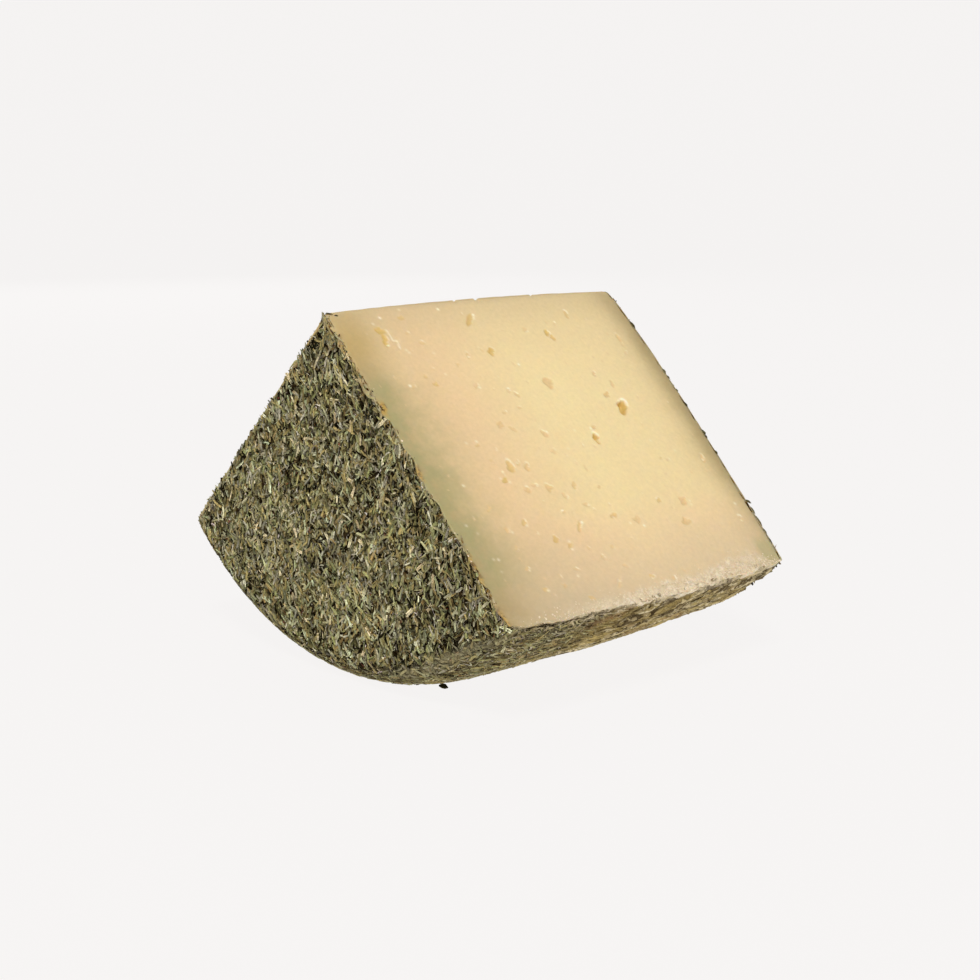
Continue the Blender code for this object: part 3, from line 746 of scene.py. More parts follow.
def streaks(paint, look):
    """Herb pressed flat in long flakes along the axis: olive, ochre, cream and dark ones, with
    dark borders, and how far they stand up. The dark borders and the dark where the streaks run
    low fall where the flakes stand lowest: painted shade in the grooves."""
    ramp, cloud = paint.ramp, paint.cloud
    turned = {"Vector": paint.place, "Rotation": (0, 0, -look.slant), "Scale": (4.2, 1.0, 1.0)}
    along = paint.node("Mapping", turned, vector_type="TEXTURE").outputs[0]
    sway = paint.node("TexNoise", {"Vector": paint.place, "Scale": 260}).outputs["Color"]
    bent = {0: along, 1: sway, 2: (0.003, 0.003, 0.003)}
    bent = paint.node("VectorMath", bent, operation="MULTIPLY_ADD").outputs[0]
    cells = {"Vector": bent, "Scale": 230}
    flakes = paint.node("TexVoronoi", cells).outputs["Color"]
    border = paint.node("TexVoronoi", cells, feature="DISTANCE_TO_EDGE").outputs["Distance"]
    streaky = cloud(340, 3, 0.6, along)
    tone = ramp(
        flakes, (0.24, look.dark), (0.36, look.pressed), (0.5, look.smear), (0.56, look.ochre),
        (0.66, look.pressed), (0.76, look.cream))
    for factor, value in (
        # Dark where the streaks run lowest: painted shade
        (ramp(streaky, (0.3, 0.4), (0.42, 0.0)), look.dark),
        (ramp(cloud(190, 3, place=along), (0.5, 0.0), (0.6, 0.6)), look.ochre),
        (ramp(cloud(150, 2, place=along), (0.64, 0.0), (0.7, 0.5)), look.russet),
        # Dark borders between the flakes, where they stand lowest: painted shade
        (ramp(border, (0.0, 0.6), (0.045, 0.0)), look.dark),
        (ramp(cloud(560, 4, 0.6, along), (0.6, 0.0), (0.67, 0.55)), look.cream),
        (ramp(cloud(300, 2, place=along), (0.33, 0.75), (0.36, 0.0)), look.dark),
    ):
        tone = paint.blend(factor, tone, value)
    return tone, paint.plus(ramp(border, (0.0, 0.0), (0.1, 1.0)), streaky)


def floury(paint, look):
    """The coat's cut edge, brown, ochre and cream in turn, and the crumbs of paste that lie over
    the rim's edge, where the mesh is marked for them."""
    turns = paint.ramp(
        paint.cloud(300, 3, 0.6), (0.36, look.dark), (0.46, look.stain), (0.56, look.cream))
    paint.over(paint.times("cut_edge", 0.75), turns)
    speckled = paint.ramp(paint.cloud(900, 4, 0.7), (0.4, 0.15), (0.6, 1.0))
    paint.over(paint.times("floury", speckled), look.crumb)


def coat_material(look):
    """The layer below the herbs: near black between them, which is painted shade, and smeared in streaks
    on the rim.
    """
    paint = Paint("coat_layer")
    fine = paint.cloud(1000, 4, 0.7)
    smear, raised = streaks(paint, look)
    # Near black between the herbs: painted shade
    paint.tone = paint.blend(paint.ramp(fine, (0.42, 0.0), (0.64, 1.0)), look.gap, look.ground)
    paint.over("pressed", smear)
    calm = paint.blend(paint.ramp(fine, (0.36, 0.5), (0.5, 0.0)), look.smear, look.dark)
    paint.over(paint.times("band", 0.8), calm)
    floury(paint, look)
    # Painted shade in the cracks along the rim
    paint.over("crack", look.dark)
    calmer = paint.ramp("pressed", (0.0, 0.7), (1.0, 0.15))
    height = paint.plus(paint.times(fine, calmer), raised)
    return paint.finish({"Roughness": 0.95, "Specular IOR Level": 0.03}, height, 0.8, 0.0005)


def herb_material(name, low, high, look, coat):
    """Dried herb. Each piece carries its own tint and a rib along it; for laid herbs the tint is
    darker the deeper they lie, as painted shade. Grey bloom and brown patches lie over them all,
    and on the rim they take on the streaks."""
    paint = Paint(name)
    ramp, cloud, times, over = paint.ramp, paint.cloud, paint.times, paint.over
    paint.tone = ramp("tint", (0.0, low), (1.0, high))
    over(1.0, ramp(cloud(2600, 3, 0.7), (0.32, 0.5), (0.68, 1.4)), "MULTIPLY")
    over(1.0, ramp("hue", *HUES), "MULTIPLY")
    over(1.0, ramp("rib", (0.1, 0.6), (0.3, 1.0), (0.5, 1.15)), "MULTIPLY")
    over(ramp(cloud(210, 3, 0.6), (0.52, 0.0), (0.7, 0.4)), look.earth)
    bloom = ramp(cloud(390, 3, 0.6), (0.5, 0.0), (0.7, 0.6))
    over(times(bloom, ramp("tint", (0.3, 0.0), (0.65, 1.0))), look.bloom)
    over(times("pressed", 0.7), streaks(paint, coat)[0])
    over(times("band", 0.5), coat.smear)
    floury(paint, coat)
    shine = {"Roughness": 0.8, "Specular IOR Level": 0.03}
    return paint.finish(shine, cloud(3200, 2), 0.4, 0.0001)


def spaced(count, seed):
    """Evenly scattered pairs of numbers between 0 and 1: multiples of two fixed irrational
    steps, each nudged by a small random amount."""
    draw = np.random.default_rng(seed)
    steps = np.arange(count)[:, None] * np.array([0.7548776662, 0.5698402910])
    nudge = draw.normal(0, 0.35 / math.sqrt(count), (count, 2))
    return (draw.random(2) + steps + nudge) % 1


def eye_list(look, side):
    """The eyes of a cut: across, down, width, length, depth, turn and ochre, in millimetres and
    radians. The front's named eyes come first, and fine ones follow at random."""
    draw = np.random.default_rng(11 + side)
    if side < 0:
        named = np.array(EYES)
        named[:, 5] = np.radians(named[:, 5])
    else:
        places = spaced(look.back_eyes, 5) * [84, 80] + [7, 5]
        wide = draw.uniform(0.9, 2.6, len(places))
        named = np.column_stack([
            places, wide, wide * draw.uniform(0.9, 1.8, len(places)),
            wide * draw.uniform(0.25, 0.5, len(places)), draw.uniform(-1, 1, len(places)),
            draw.random(len(places)) ** 2])
    places = spaced(look.fine_eyes, 7 + side) * [92, 88] + [3, 3]
    wide = draw.uniform(0.35, 0.8, len(places))
    fine = np.column_stack([
        places, wide, wide * draw.uniform(0.9, 2.4, len(places)),
        draw.uniform(0.06, 0.2, len(places)), draw.uniform(-0.6, 0.5, len(places)),
        0 * wide])
    return np.concatenate([named, fine])


def eyes_relief(across, down, eyes, seed, named):
    """The depth of the eyes over a cut, how much of each is floor, how ochre it is, and the
    pale points.

    In an eye's own turned axes, r is the distance from its middle as a share of its half width
    and length, and its outline wavers with the angle. The depth falls from full inside to none
    at the outline by an S-curve. The pale points are painted highlights: crescents on one side
    of the outlines and bells at named places. Thin pale lines also follow the named creases."""
    depth = np.zeros(across.shape)
    floor = np.zeros(across.shape)
    ochre = np.zeros(across.shape)
    pale = np.zeros(across.shape)
    draw = np.random.default_rng(seed)
    for middle, below, wide, tall, deep, turn, yellow in eyes:
        waver = draw.uniform(0.06, 0.2, 3)
        phase = draw.uniform(0, 2 * math.pi, 3)
        lean = draw.normal(-0.3, 0.7)
        bright = draw.random() ** 1.5
        reach = 0.9 * max(wide, tall)
        rows = np.flatnonzero(np.abs(down.mean(axis=1) - below) < reach + 1.0)
        columns = np.flatnonzero(np.abs(across.mean(axis=0) - middle) < reach + 2.0)
        if not len(rows) or not len(columns):
            continue
        part = slice(rows[0], rows[-1] + 1), slice(columns[0], columns[-1] + 1)
        aside = across[part] - middle
        under = down[part] - below
        p = aside * math.cos(turn) + under * math.sin(turn)
        q = under * math.cos(turn) - aside * math.sin(turn)
        heading = np.arctan2(q, p)
        outline = 1
        for k in range(3):
            outline = outline + waver[k] * np.cos((k + 2) * heading + phase[k])
        r = np.hypot(p / (wide / 2), q / (tall / 2)) / outline
        bowl = deep * (0.42 if deep < 1.5 else 0.9) * ease(1.7 * (1.06 - r))
        # A painted highlight: a bright crescent on one side of the eye's rim
        crescent = np.exp(-(((r - 1.08) / (0.1 + 0.12 / wide)) ** 2))
        crescent = crescent * ease(np.cos(heading + turn - lean) * 1.6 - 0.5)
        inside = ease(2.4 * (1.12 - r))
        depth[part] = np.maximum(depth[part], bowl)
        # The floor is stronger in deeper eyes: partly painted shade in the hollow
        floor[part] = np.maximum(floor[part], inside * min(1, 0.3 + 0.9 * deep))
        ochre[part] = np.maximum(ochre[part], inside * yellow * (0.75 + 0.25 * np.minimum(r, 1)))
        pale[part] = np.maximum(pale[part], crescent * bright * min(1, wide))
    if named:
        # Painted highlights at the named glints
        for middle, below, strength in GLINTS:
            spot = np.hypot(across - middle, down - below)
            pale = np.maximum(pale, 1.2 * strength * np.exp(-((spot / 0.36) ** 2)))
        for start_u, start_v, end_u, end_v in CREASES:
            run = np.array([end_u - start_u, end_v - start_v])
            part = ((across - start_u) * run[0] + (down - start_v) * run[1]) / (run @ run)
            part = np.clip(part, 0, 1)
            aside = np.hypot(across - start_u - part * run[0], down - start_v - part * run[1])
            pale = np.maximum(pale, 0.6 * np.exp(-((aside / 0.22) ** 2)))
            depth = depth + 0.12 * np.exp(-(((aside - 0.45) / 0.2) ** 2))
    return depth, floor, ochre, pale


def cut_surface(wheel, look, coat, side, rows):
    """A cut face as a grid of points, from the sharp edge down.

    A point lies at x across the wheel and at a share of the way down to the rim, inside an
    uneven border. It moves along the cut's normal by the crown, the grain and the crumbly band,
    less the eyes. At the border the grid folds back behind the cut and then steps in under the
    coat. The row at the sharp edge moves up and down only.
    """
    turn = side * wheel.half_cut
    s = np.concatenate(([-1, -1], np.linspace(-1, 1, look.columns + 1), [1, 1]))
    t = np.linspace(0, 1, rows + 1)
    t = t - 0.0045 * np.sin(16 * math.pi * t) * (t < 0.125)
    t = np.concatenate((t, [1, 1]))[:, None]
    inset = np.zeros(s.shape)
    inset[[0, -1]] = coat.cover
    back = np.zeros(s.shape)
    back[[0, 1, -2, -1]] = np.array([1.25, 1, 1, 1.25]) * look.fold
    inset_down = np.zeros(t.shape)
    inset_down[-1] = coat.cover
    over = np.stack([s * wheel.half, 0 * s, 0 * s + side], axis=-1)
    over = ease((s + 0.85) / 0.9) * (0.0009 + 0.0006 * rough(over, 0.004, 15, 3)) * (side < 0)
    back_down = np.zeros((len(t), len(s)))
    back_down[-2:] = np.array([[1], [1.25]]) * (look.fold + np.maximum(0, over))
    flat = np.stack(np.broadcast_arrays(s * wheel.half, t * wheel.apex[2], side * 0.5), axis=-1)
    waver = look.border_waver * (rough(flat, 0.006, 3, 3) + 0.3 * noise(flat, 0.0012, 7))
    border = np.abs(s) ** 60
    down = t * wheel.apex[2] / MM
    left = look.left_border + 0 * down
    if side < 0:
        left = np.interp(down, *LEFT_BORDER) * MM
    edge = np.where(s < 0, left + 0.6 * waver, look.right_border + 0.5 * waver)
    x = s * wheel.half - np.sign(s) * (border * edge + inset)
    coated = ease((0.046 - (s * wheel.half + wheel.half)) / 0.012)
    bottom = wheel.radius(turn) - wheel.fall(s * wheel.half, turn) - look.rim_border
    bottom = bottom - coated * look.rim_coat
    line = np.stack(np.broadcast_arrays(s * wheel.half, 0, side * 0.7), axis=-1)
    bottom = bottom + look.border_waver * (0.7 * rough(line, 0.004, 9, 3) - 0.2)
    radius = t * bottom - inset_down
    down = radius / MM
    across = (x + wheel.bulge(x, radius) + wheel.half) / MM
    outer = (wheel.half + wheel.bulge(wheel.half, radius) - look.right_border) / MM
    from_right = outer - (across - wheel.half / MM)
    lift = wheel.sizes.cut_crown * (1 - (x / wheel.half) ** 2) * (1 - t)
    eyes, floor, ochre, pale = eyes_relief(across, down, eye_list(look, side), 21 + side, side < 0)
    from_rim = (bottom - radius) / MM
    band = np.interp(across, *CRUMB_BAND)
    ragged = 1.6 * rough(flat, 0.005, 13, 3)
    crumb = ease((band + ragged - from_rim) / 3) * (0.16 + 0.84 * ease((across - 18) / 24))
    crumb = crumb * (0.6 + 0.4 * ease(across / 6)) * (1 - 0.25 * ease((across - 74) / 8))
    away = ease(down / 1.5) * ease(from_right / 1.2) * ease(across / 1.2)
    grain = look.grain_depth * rough(flat, 0.0011, 17, 2) + 0.00006 * noise(flat, 0.012, 19)
    shred = look.crumb_depth * (rough(flat, 0.0011, 23, 2) - 0.35)
    lift = lift + away * (grain - eyes * MM) + crumb * shred
    lift = lift - 0.00045 * np.maximum(0, 1 - from_right / 2.6) ** 2
    lift = lift - 0.00012 * np.maximum(0, 1 - across / 0.7) ** 2
    worn = np.maximum(0, 1 - radius / look.edge_radius) ** 2
    lift = lift - 0.29 * look.edge_radius * worn
    chip = sum(np.exp(-((across - c) / w) ** 2) * 0.9 * MM * w for c, w in EDGE_CHIPS)
    lift = lift - chip * np.exp(-((down / 0.9) ** 2)) - 0.00005 * noise(line, 0.003, 29) * (t == 0)
    lift = lift - np.maximum(back, back_down)
    points = wheel.set_down(x, radius, turn)
    points = points + lift[..., None] * wheel.cut_normal(side)
    points[0] = wheel.set_down(x[0], 0 * s, turn) + lift[0][:, None] * UP * math.sqrt(2)
    green = ease((down - 15) / 12) * ease((90 - down) / 12) * ease((24 - across) / 12)
    honey = 0.8 * ease((24 - down) / 18) * ease((15 - across) / 13)
    drift = 4 * rough(flat, 0.025, 73, 2)
    peach = np.exp(-(((across - 21 + drift) / 17) ** 2)) + 0.7 * ease((down - 66 + drift) / 14)
    butter = np.exp(-(((across - 62 + drift) / 22) ** 2) - ((down - 46 + drift) / 24) ** 2)
    stain = sum(s0 * np.exp(-((down - c) / w) ** 4) for c, w, s0 in STAINS)
    stain = 0.9 * stain * ease((1.4 + 1.1 * noise(flat, 0.0016, 53) - across) / 0.9) * (side < 0)
    tan = 5 * ease((44 - across) / 26)
    corner = ease((across - 89.5 + 0.8 * rough(flat, 0.004, 77, 2)) / 3) * ease((down - 84) / 4)
    marks = {
        "from_left": across, "from_rim": from_rim - tan, "ochre": ochre * away,
        "from_right": from_right + 3.4 * ease((down - 58) / 24) - 1.3 * ease((9 - down) / 7),
        "peach": np.minimum(peach, 1),
        "butter": butter, "corner": 0.85 * corner,
        # hollow: the eye floors, partly painted shade
        "from_edge": down, "hollow": floor * away, "crumb": crumb, "green": green,
        # pale carries the painted highlights beside the eyes
        "honey": honey, "stain": stain, "pale": pale * away,
    }
    return points, {key: np.broadcast_to(value, down.shape) for key, value in marks.items()}


def paste_piece(wheel, look, coat):
    """The body of paste: both cuts, the rim below the coat as arcs between their lower edges,
    and each side as one face."""
    front, front_marks = cut_surface(wheel, look, coat, -1, look.front_rows)
    back, back_marks = cut_surface(wheel, look, coat, 1, look.back_rows)
    columns = front.shape[1]
    arcs = 12
    part = np.linspace(0, 1, arcs + 1)[1:-1, None]
    turn = wheel.half_cut * (2 * part - 1)
    x = np.linspace(-1, 1, columns) * (wheel.half - coat.cover)
    under = wheel.set_down(x, wheel.radius(turn) - wheel.fall(x, turn) - 1.2 * coat.cover, turn)
    under[..., 2] = np.maximum(under[..., 2], coat.cover)
    blocks = [front.reshape(-1, 3), under.reshape(-1, 3), back[::-1][:-1].reshape(-1, 3)]
    points = np.concatenate(blocks)
    rows = len(points) // columns
    ring = np.arange(rows)
    quads = grid_faces(rows, columns)
    closing = np.stack([
        np.arange(columns - 1) + (rows - 1) * columns, np.arange(columns - 1),
        np.arange(1, columns), np.arange(1, columns) + (rows - 1) * columns], axis=-1)
    left = (ring * columns)[None, ::-1]
    right = (ring * columns + columns - 1)[None]
    marks = {}
    for key, values in front_marks.items():
        middle = np.full((arcs - 1, columns), 0.0)
        parts = [values, middle, back_marks[key][::-1][:-1]]
        marks[key] = np.concatenate([block.reshape(-1) for block in parts])
    return make_mesh("paste", points, [quads, closing, left, right], marks)


def shoulder_band(wheel, points, normals):
    """The smooth band where the near shoulder turns from the left side to the rim: a bell
    across it, dying away towards the lowest point of the wheel."""
    turn = np.arctan2(points[..., 1] - wheel.apex[1], wheel.apex[2] - points[..., 2])
    inward = (points[..., 0] - wheel.apex[0] + wheel.half) / MM
    bell = np.exp(-(((inward - 2.0) / 1.3) ** 2)) * (normals[..., 0] < 0.2)
    facing = ease((0.97 + normals[..., 0]) / 0.1)
    return bell * facing * ease((math.radians(-6) - turn) / math.radians(12))


def crumb_reach(wheel, points):
    """How much paste lies over the rim behind the front cut: most at its right part, and none
    beyond a few millimetres."""
    behind = -wheel.over_cuts(points)[0]
    spread = ease((points[..., 0] + 0.042) / 0.05)
    under = ease((0.02 - points[..., 2]) / 0.004) + ease((wheel.apex[2] - points[..., 2]) / 0.05)
    ragged = 0.0009 * rough(points, 0.004, 67, 3)
    reach = 0.0010 + 0.0021 * spread + ragged
    return np.clip(1.2 - behind / np.maximum(reach, 1e-5), 0, 1) * ease(under) * (0.6 + 0.4 * spread)


def follow_border(wheel, points):
    """How far the coat moves along the axis beside the front cut, so that it ends where the
    paste does: the border's own distance, dying away as a bell 2 mm behind the cut."""
    radius = np.hypot(points[..., 1] - wheel.apex[1], wheel.apex[2] - points[..., 2])
    border = np.interp(radius / MM, *LEFT_BORDER) * MM
    behind = wheel.over_cuts(points)[0] / 0.002
    return border * np.exp(-(behind**2)) * ease((-0.042 - points[..., 0]) / 0.004)


def cut_edge(wheel, points):
    """How close points of the coat are to the front cut, from 1 there to 0 at 0.8 mm."""
    return np.clip(1 + wheel.over_cuts(points)[0] / 0.0008, 0, 1)


def coat_piece(wheel, look):
    """The coat's layer: a sheet of the meridian and the angle, with crags on the sides and
    ridges along the rim, the same sheet deeper down, and strips that join them at the cuts."""
    down = np.linspace(0, 1, round(wheel.sizes.radius / look.side_cell) + 1)
    across = np.linspace(0, 1, round(wheel.rim_length / look.rim_cell) + 1)
    along = np.concatenate([down[:-1], 1 + across, 2 + down[1:]])[:, None]
    steps = round(2 * wheel.half_cut * wheel.sizes.radius / look.round_cell)
    reach = wheel.sizes.radius * np.maximum(np.minimum(along, 3 - along), 0.002)
    last = wheel.half_cut - np.arcsin(np.minimum(look.recess / np.minimum(reach, wheel.sizes.radius), 0.7))
    turns = last * np.linspace(-1, 1, steps)
    points, normals = wheel.skin(along, turns, look.depth)
    pressed = ease((np.abs(normals[..., 2]) + np.abs(normals[..., 1]) - 0.35) / 0.5)
    bare = pressed * ease((points[..., 0] + 0.040) / 0.045)
    band = shoulder_band(wheel, points, normals)
    crag = rough(points, 0.0024, 31, 3) * look.relief
    streaks = np.stack([
        points[..., 0] * 0.15, points[..., 1] + points[..., 0] * math.tan(look.slant),
        points[..., 2]], axis=-1)
    ridge = rough(streaks, 0.0032, 34, 3) * look.rim_relief
    crack = 1 - np.minimum(np.abs(rough(streaks, 0.0042, 37, 2)) / 0.13, 1)
    crack = crack * bare * ease((rough(streaks, 0.007, 39, 1) + 0.2) / 0.3)
    height = crag + (ridge - crag) * pressed + look.rim_rise * bare - look.crack_depth * crack
    height = height + (0.0006 - height) * band * 0.8
    outer = points + normals * height[..., None]
    inner, _ = wheel.skin(along, turns, look.depth + look.thickness)
    sheets = []
    for sheet in (outer, inner):
        for side, over in zip((-1, 1), wheel.over_cuts(sheet)):
            push = np.maximum(0, over + look.recess)
            sheet = sheet - push[..., None] * wheel.cut_normal(side)
        sheets.append(sheet)
    outer, inner = sheets
    outer = outer + follow_border(wheel, outer)[..., None] * AXIS
    floor = 0.00035 + 0.0002 * np.abs(noise(points, 0.003, 41))
    outer[..., 2] = np.maximum(outer[..., 2], floor)
    inner[..., 2] = np.maximum(inner[..., 2], floor + look.thickness)
    for sheet in (outer, inner):
        sheet[0] = sheet[0].mean(axis=0)
        sheet[-1] = sheet[-1].mean(axis=0)
    rows, columns = outer.shape[:2]
    skins = [outer.reshape(-1, 3), inner.reshape(-1, 3)]
    outside = grid_faces(rows, columns)
    inside = grid_faces(rows, columns, rows * columns)[:, ::-1]
    step = np.arange(rows - 1) * columns
    inward = rows * columns
    front = np.stack([step, step + inward, step + columns + inward, step + columns], axis=-1)
    last = step + columns - 1
    back = np.stack([last, last + columns, last + columns + inward, last + inward], axis=-1)
    quads = np.concatenate([outside, inside, front, back])
    points = np.concatenate(skins)
    first, quads, triangles = weld(points, quads)
    floury_part = crumb_reach(wheel, skins[0].reshape(band.shape + (3,))) * pressed
    marks = {"pressed": pressed, "band": band, "floury": floury_part, "crack": crack}
    marks["cut_edge"] = cut_edge(wheel, skins[0].reshape(band.shape + (3,))) * (1 - 0.8 * pressed)
    marks = {key: np.tile(values.reshape(-1), 2)[first] for key, values in marks.items()}
    return make_mesh("coat_layer", points[first], [quads, triangles], marks)


class Spots:
    """Places on the coat for loose herbs, spread evenly by area.

    The area of a strip of the skin is the radius times the step along the meridian, so places
    are drawn from its running sum. grain is the way the herbs lie: upright on the sides, round
    the wheel at the shoulders and along the axis on the rim.
    """

    def __init__(self, wheel, count, seed, rim_weight=1.0):
        table = np.linspace(0, 3, 1801)
        middle = (table[1:] + table[:-1]) / 2
        on_rim = (middle > 1) & (middle < 2)
        side = wheel.sizes.radius * np.minimum(middle, 3 - middle)
        rim_x = np.interp(middle, 1 + wheel.rim_share, wheel.rim_x)
        bare = 1 - 0.965 * ease((rim_x + 0.04) / 0.034)
        area = np.where(on_rim, wheel.rim_length * rim_weight * bare, side)
        total = np.concatenate(([0], np.cumsum(area)))
        draws = spaced(count, seed)
        self.meridian = np.interp(draws[:, 0], total / total[-1], table)
        self.turn = wheel.half_cut * (2 * draws[:, 1] - 1)
        self.point, self.normal = wheel.skin(self.meridian, self.turn)
        axial = np.abs(self.normal[:, 0])
        self.pressed = ease((0.9 - axial) / 0.5)
        beside = np.minimum(self.meridian, 3 - self.meridian)
        self.shoulder = np.exp(-(((beside - 0.985) / 0.03) ** 2))
        self.band = shoulder_band(wheel, self.point, self.normal)
        self.floury = crumb_reach(wheel, self.point) * self.pressed
        self.cut_edge = cut_edge(wheel, self.point) * (1 - 0.8 * self.pressed)
        self.calm = self.pressed * (0.35 + 0.65 * ease((self.point[:, 0] + 0.04) / 0.04))
        hoop = np.cross(AXIS, self.normal + 1e-6 * UP)
        side = axial > 0.9
        rim = (axial < 0.3) & (self.band < 0.3)
        self.grain = np.where(side[:, None], UP, np.where(rim[:, None], AXIS, hoop))
        self.count = count


def flake_frames(spots, draw, look, tilt):
    """Three axes for each herb: across it, along it and out of it. It turns about the coat's
    normal by a wandering flow plus a random scatter, and its ends tilt up and down."""
    scatters = look.side_scatter + (look.rim_scatter - look.side_scatter) * spots.calm
    wander = look.flow * noise(spots.point, 0.020, 43) * (1 - 0.8 * spots.calm)
    wander = wander + look.rim_slant * spots.pressed
    loose = draw.random(spots.count) < 0.24 * (1 - 0.8 * spots.calm)
    heading = wander + draw.normal(0, 1, spots.count) * scatters
    heading = np.where(loose, draw.uniform(-math.pi, math.pi, spots.count), heading)
    normal = spots.normal
    grain = unit(spots.grain - normal * np.sum(spots.grain * normal, axis=1)[:, None])
    across = np.cross(grain, normal)
    c, s = np.cos(heading)[:, None], np.sin(heading)[:, None]
    grain, across = c * grain + s * across, c * across - s * grain
    flat = (1 - 0.8 * spots.pressed) * (1 - 0.8 * spots.shoulder)
    pitch = np.clip(draw.normal(0, 1, spots.count), -1.6, 1.6) * tilt * flat
    c, s = np.cos(pitch)[:, None], np.sin(pitch)[:, None]
    along, out = c * grain + s * normal, c * normal - s * grain
    roll = draw.normal(0, 0.5, spots.count) * flat
    c, s = np.cos(roll)[:, None], np.sin(roll)[:, None]
    return c * across + s * out, along, c * out - s * across


def flake_forms(shape, draw, size, bend, calm):
    """Each herb's own points: the shape's corners scaled to its width, length and thickness,
    tapered, bowed sideways by a parabola and curled up by another."""
    corners = shape[0]
    long, width, deep = (values[:, None] for values in size)
    count = len(long)
    place = corners[None, :, 1]
    swell = 1 + place * draw.uniform(-0.7, 0.7, (count, 1))
    arch = (place**2 - 0.08) * 2
    bow = draw.normal(0, bend, (count, 1)) * arch
    curl = draw.normal(0, 0.6 * bend, (count, 1)) * calm[:, None] * arch
    slant = draw.uniform(-0.12, 0.12, (count, 1))
    x = width * swell * corners[:, 0] + long * bow
    y = long * (place + slant * corners[:, 0])
    z = deep * swell * corners[:, 2] + long * curl
    return np.stack([x, y, z], axis=-1)


def stand(local, centre, frames):
    """Puts points given along three axes at their places."""
    across, along, out = (axis[:, None] for axis in frames)
    points = centre[:, None] + local[..., :1] * across + local[..., 1:2] * along
    return points + local[..., 2:] * out


def flake_mesh(name, shape, points, marks, material):
    """One mesh of herbs, from the points of each and the marks that each one carries. The tint
    also varies from corner to corner."""
    corners, parts, ribbed = shape
    count = len(points)
    first = (np.arange(count) * len(corners))[:, None, None]
    faces = [(first + part).reshape(-1, part.shape[1]) for part in parts]
    marks = {key: np.repeat(values, len(corners)) for key, values in marks.items()}
    marks["tint"] = marks["tint"] + np.random.default_rng(count).normal(0, 0.16, marks["tint"].shape)
    marks["rib"] = np.tile(np.abs(corners[:, 0]) if ribbed else np.full(len(corners), 0.35), count)
    thing = make_mesh(name, points.reshape(-1, 3), faces, marks, smooth=False)
    finish_piece(thing, material)


def keep_clear(wheel, look, spots, points, draw):
    """Moves whole herbs back behind the cuts. They end about at the cut on the left and on the
    rim, a little behind it on the right, and a few stand over it. None sinks into the floor."""
    uneven = rough(spots.point, 0.0035, 47, 2)
    on_right = spots.meridian > 2
    stray = draw.random(len(points)) < np.where(on_right, 0.002, 0.06)
    strayed = -look.overhang * draw.random(len(points))
    rightwards = ease((spots.point[:, 0] + 0.03) / 0.03)
    crumbly = 0.0012 * spots.floury * rightwards - 0.0004 * spots.pressed * (1 - rightwards)
    for side, over in zip((-1, 1), wheel.over_cuts(points)):
        margin = look.front_margin + crumbly
        if side > 0:
            margin = look.back_margin + 0.0015 * ease(2 * uneven) * (spots.meridian < 1)
        margin = margin + look.raggedness * uneven
        beside = look.right_margin if side < 0 else look.right_margin * 0.3
        margin = np.where(on_right, beside * (1 + 0.4 * uneven), margin)
        margin = np.where(stray, strayed, margin)
        push = np.maximum(0, over.max(axis=1) + margin)
        points = points - push[:, None, None] * wheel.cut_normal(side)
    points = points + follow_border(wheel, points.mean(axis=1))[:, None, None] * AXIS
    from_apex = points - wheel.apex
    reach = np.hypot(from_apex[..., 1], from_apex[..., 2])
    turn = spots.turn[:, None]
    form = wheel.radius(turn) - wheel.fall(np.clip(from_apex[..., 0], -wheel.half, wheel.half), turn)
    free = np.where(on_right, 0.0002, 0.0004)[:, None]
    past = np.maximum(0, (reach - form - free).max(axis=1))
    outward = np.stack([0 * past, np.sin(spots.turn), -np.cos(spots.turn)], axis=-1)
    points = points - (past[:, None] * outward)[:, None]
    sunk = np.maximum(0, 0.00008 - points[..., 2].min(axis=1))
    return points + sunk[:, None, None] * UP


def between(ends, part):
    """A length at a part of the way between two that are given in millimetres."""
    low, high = (value * MM for value in ends)
    return low + (high - low) * part


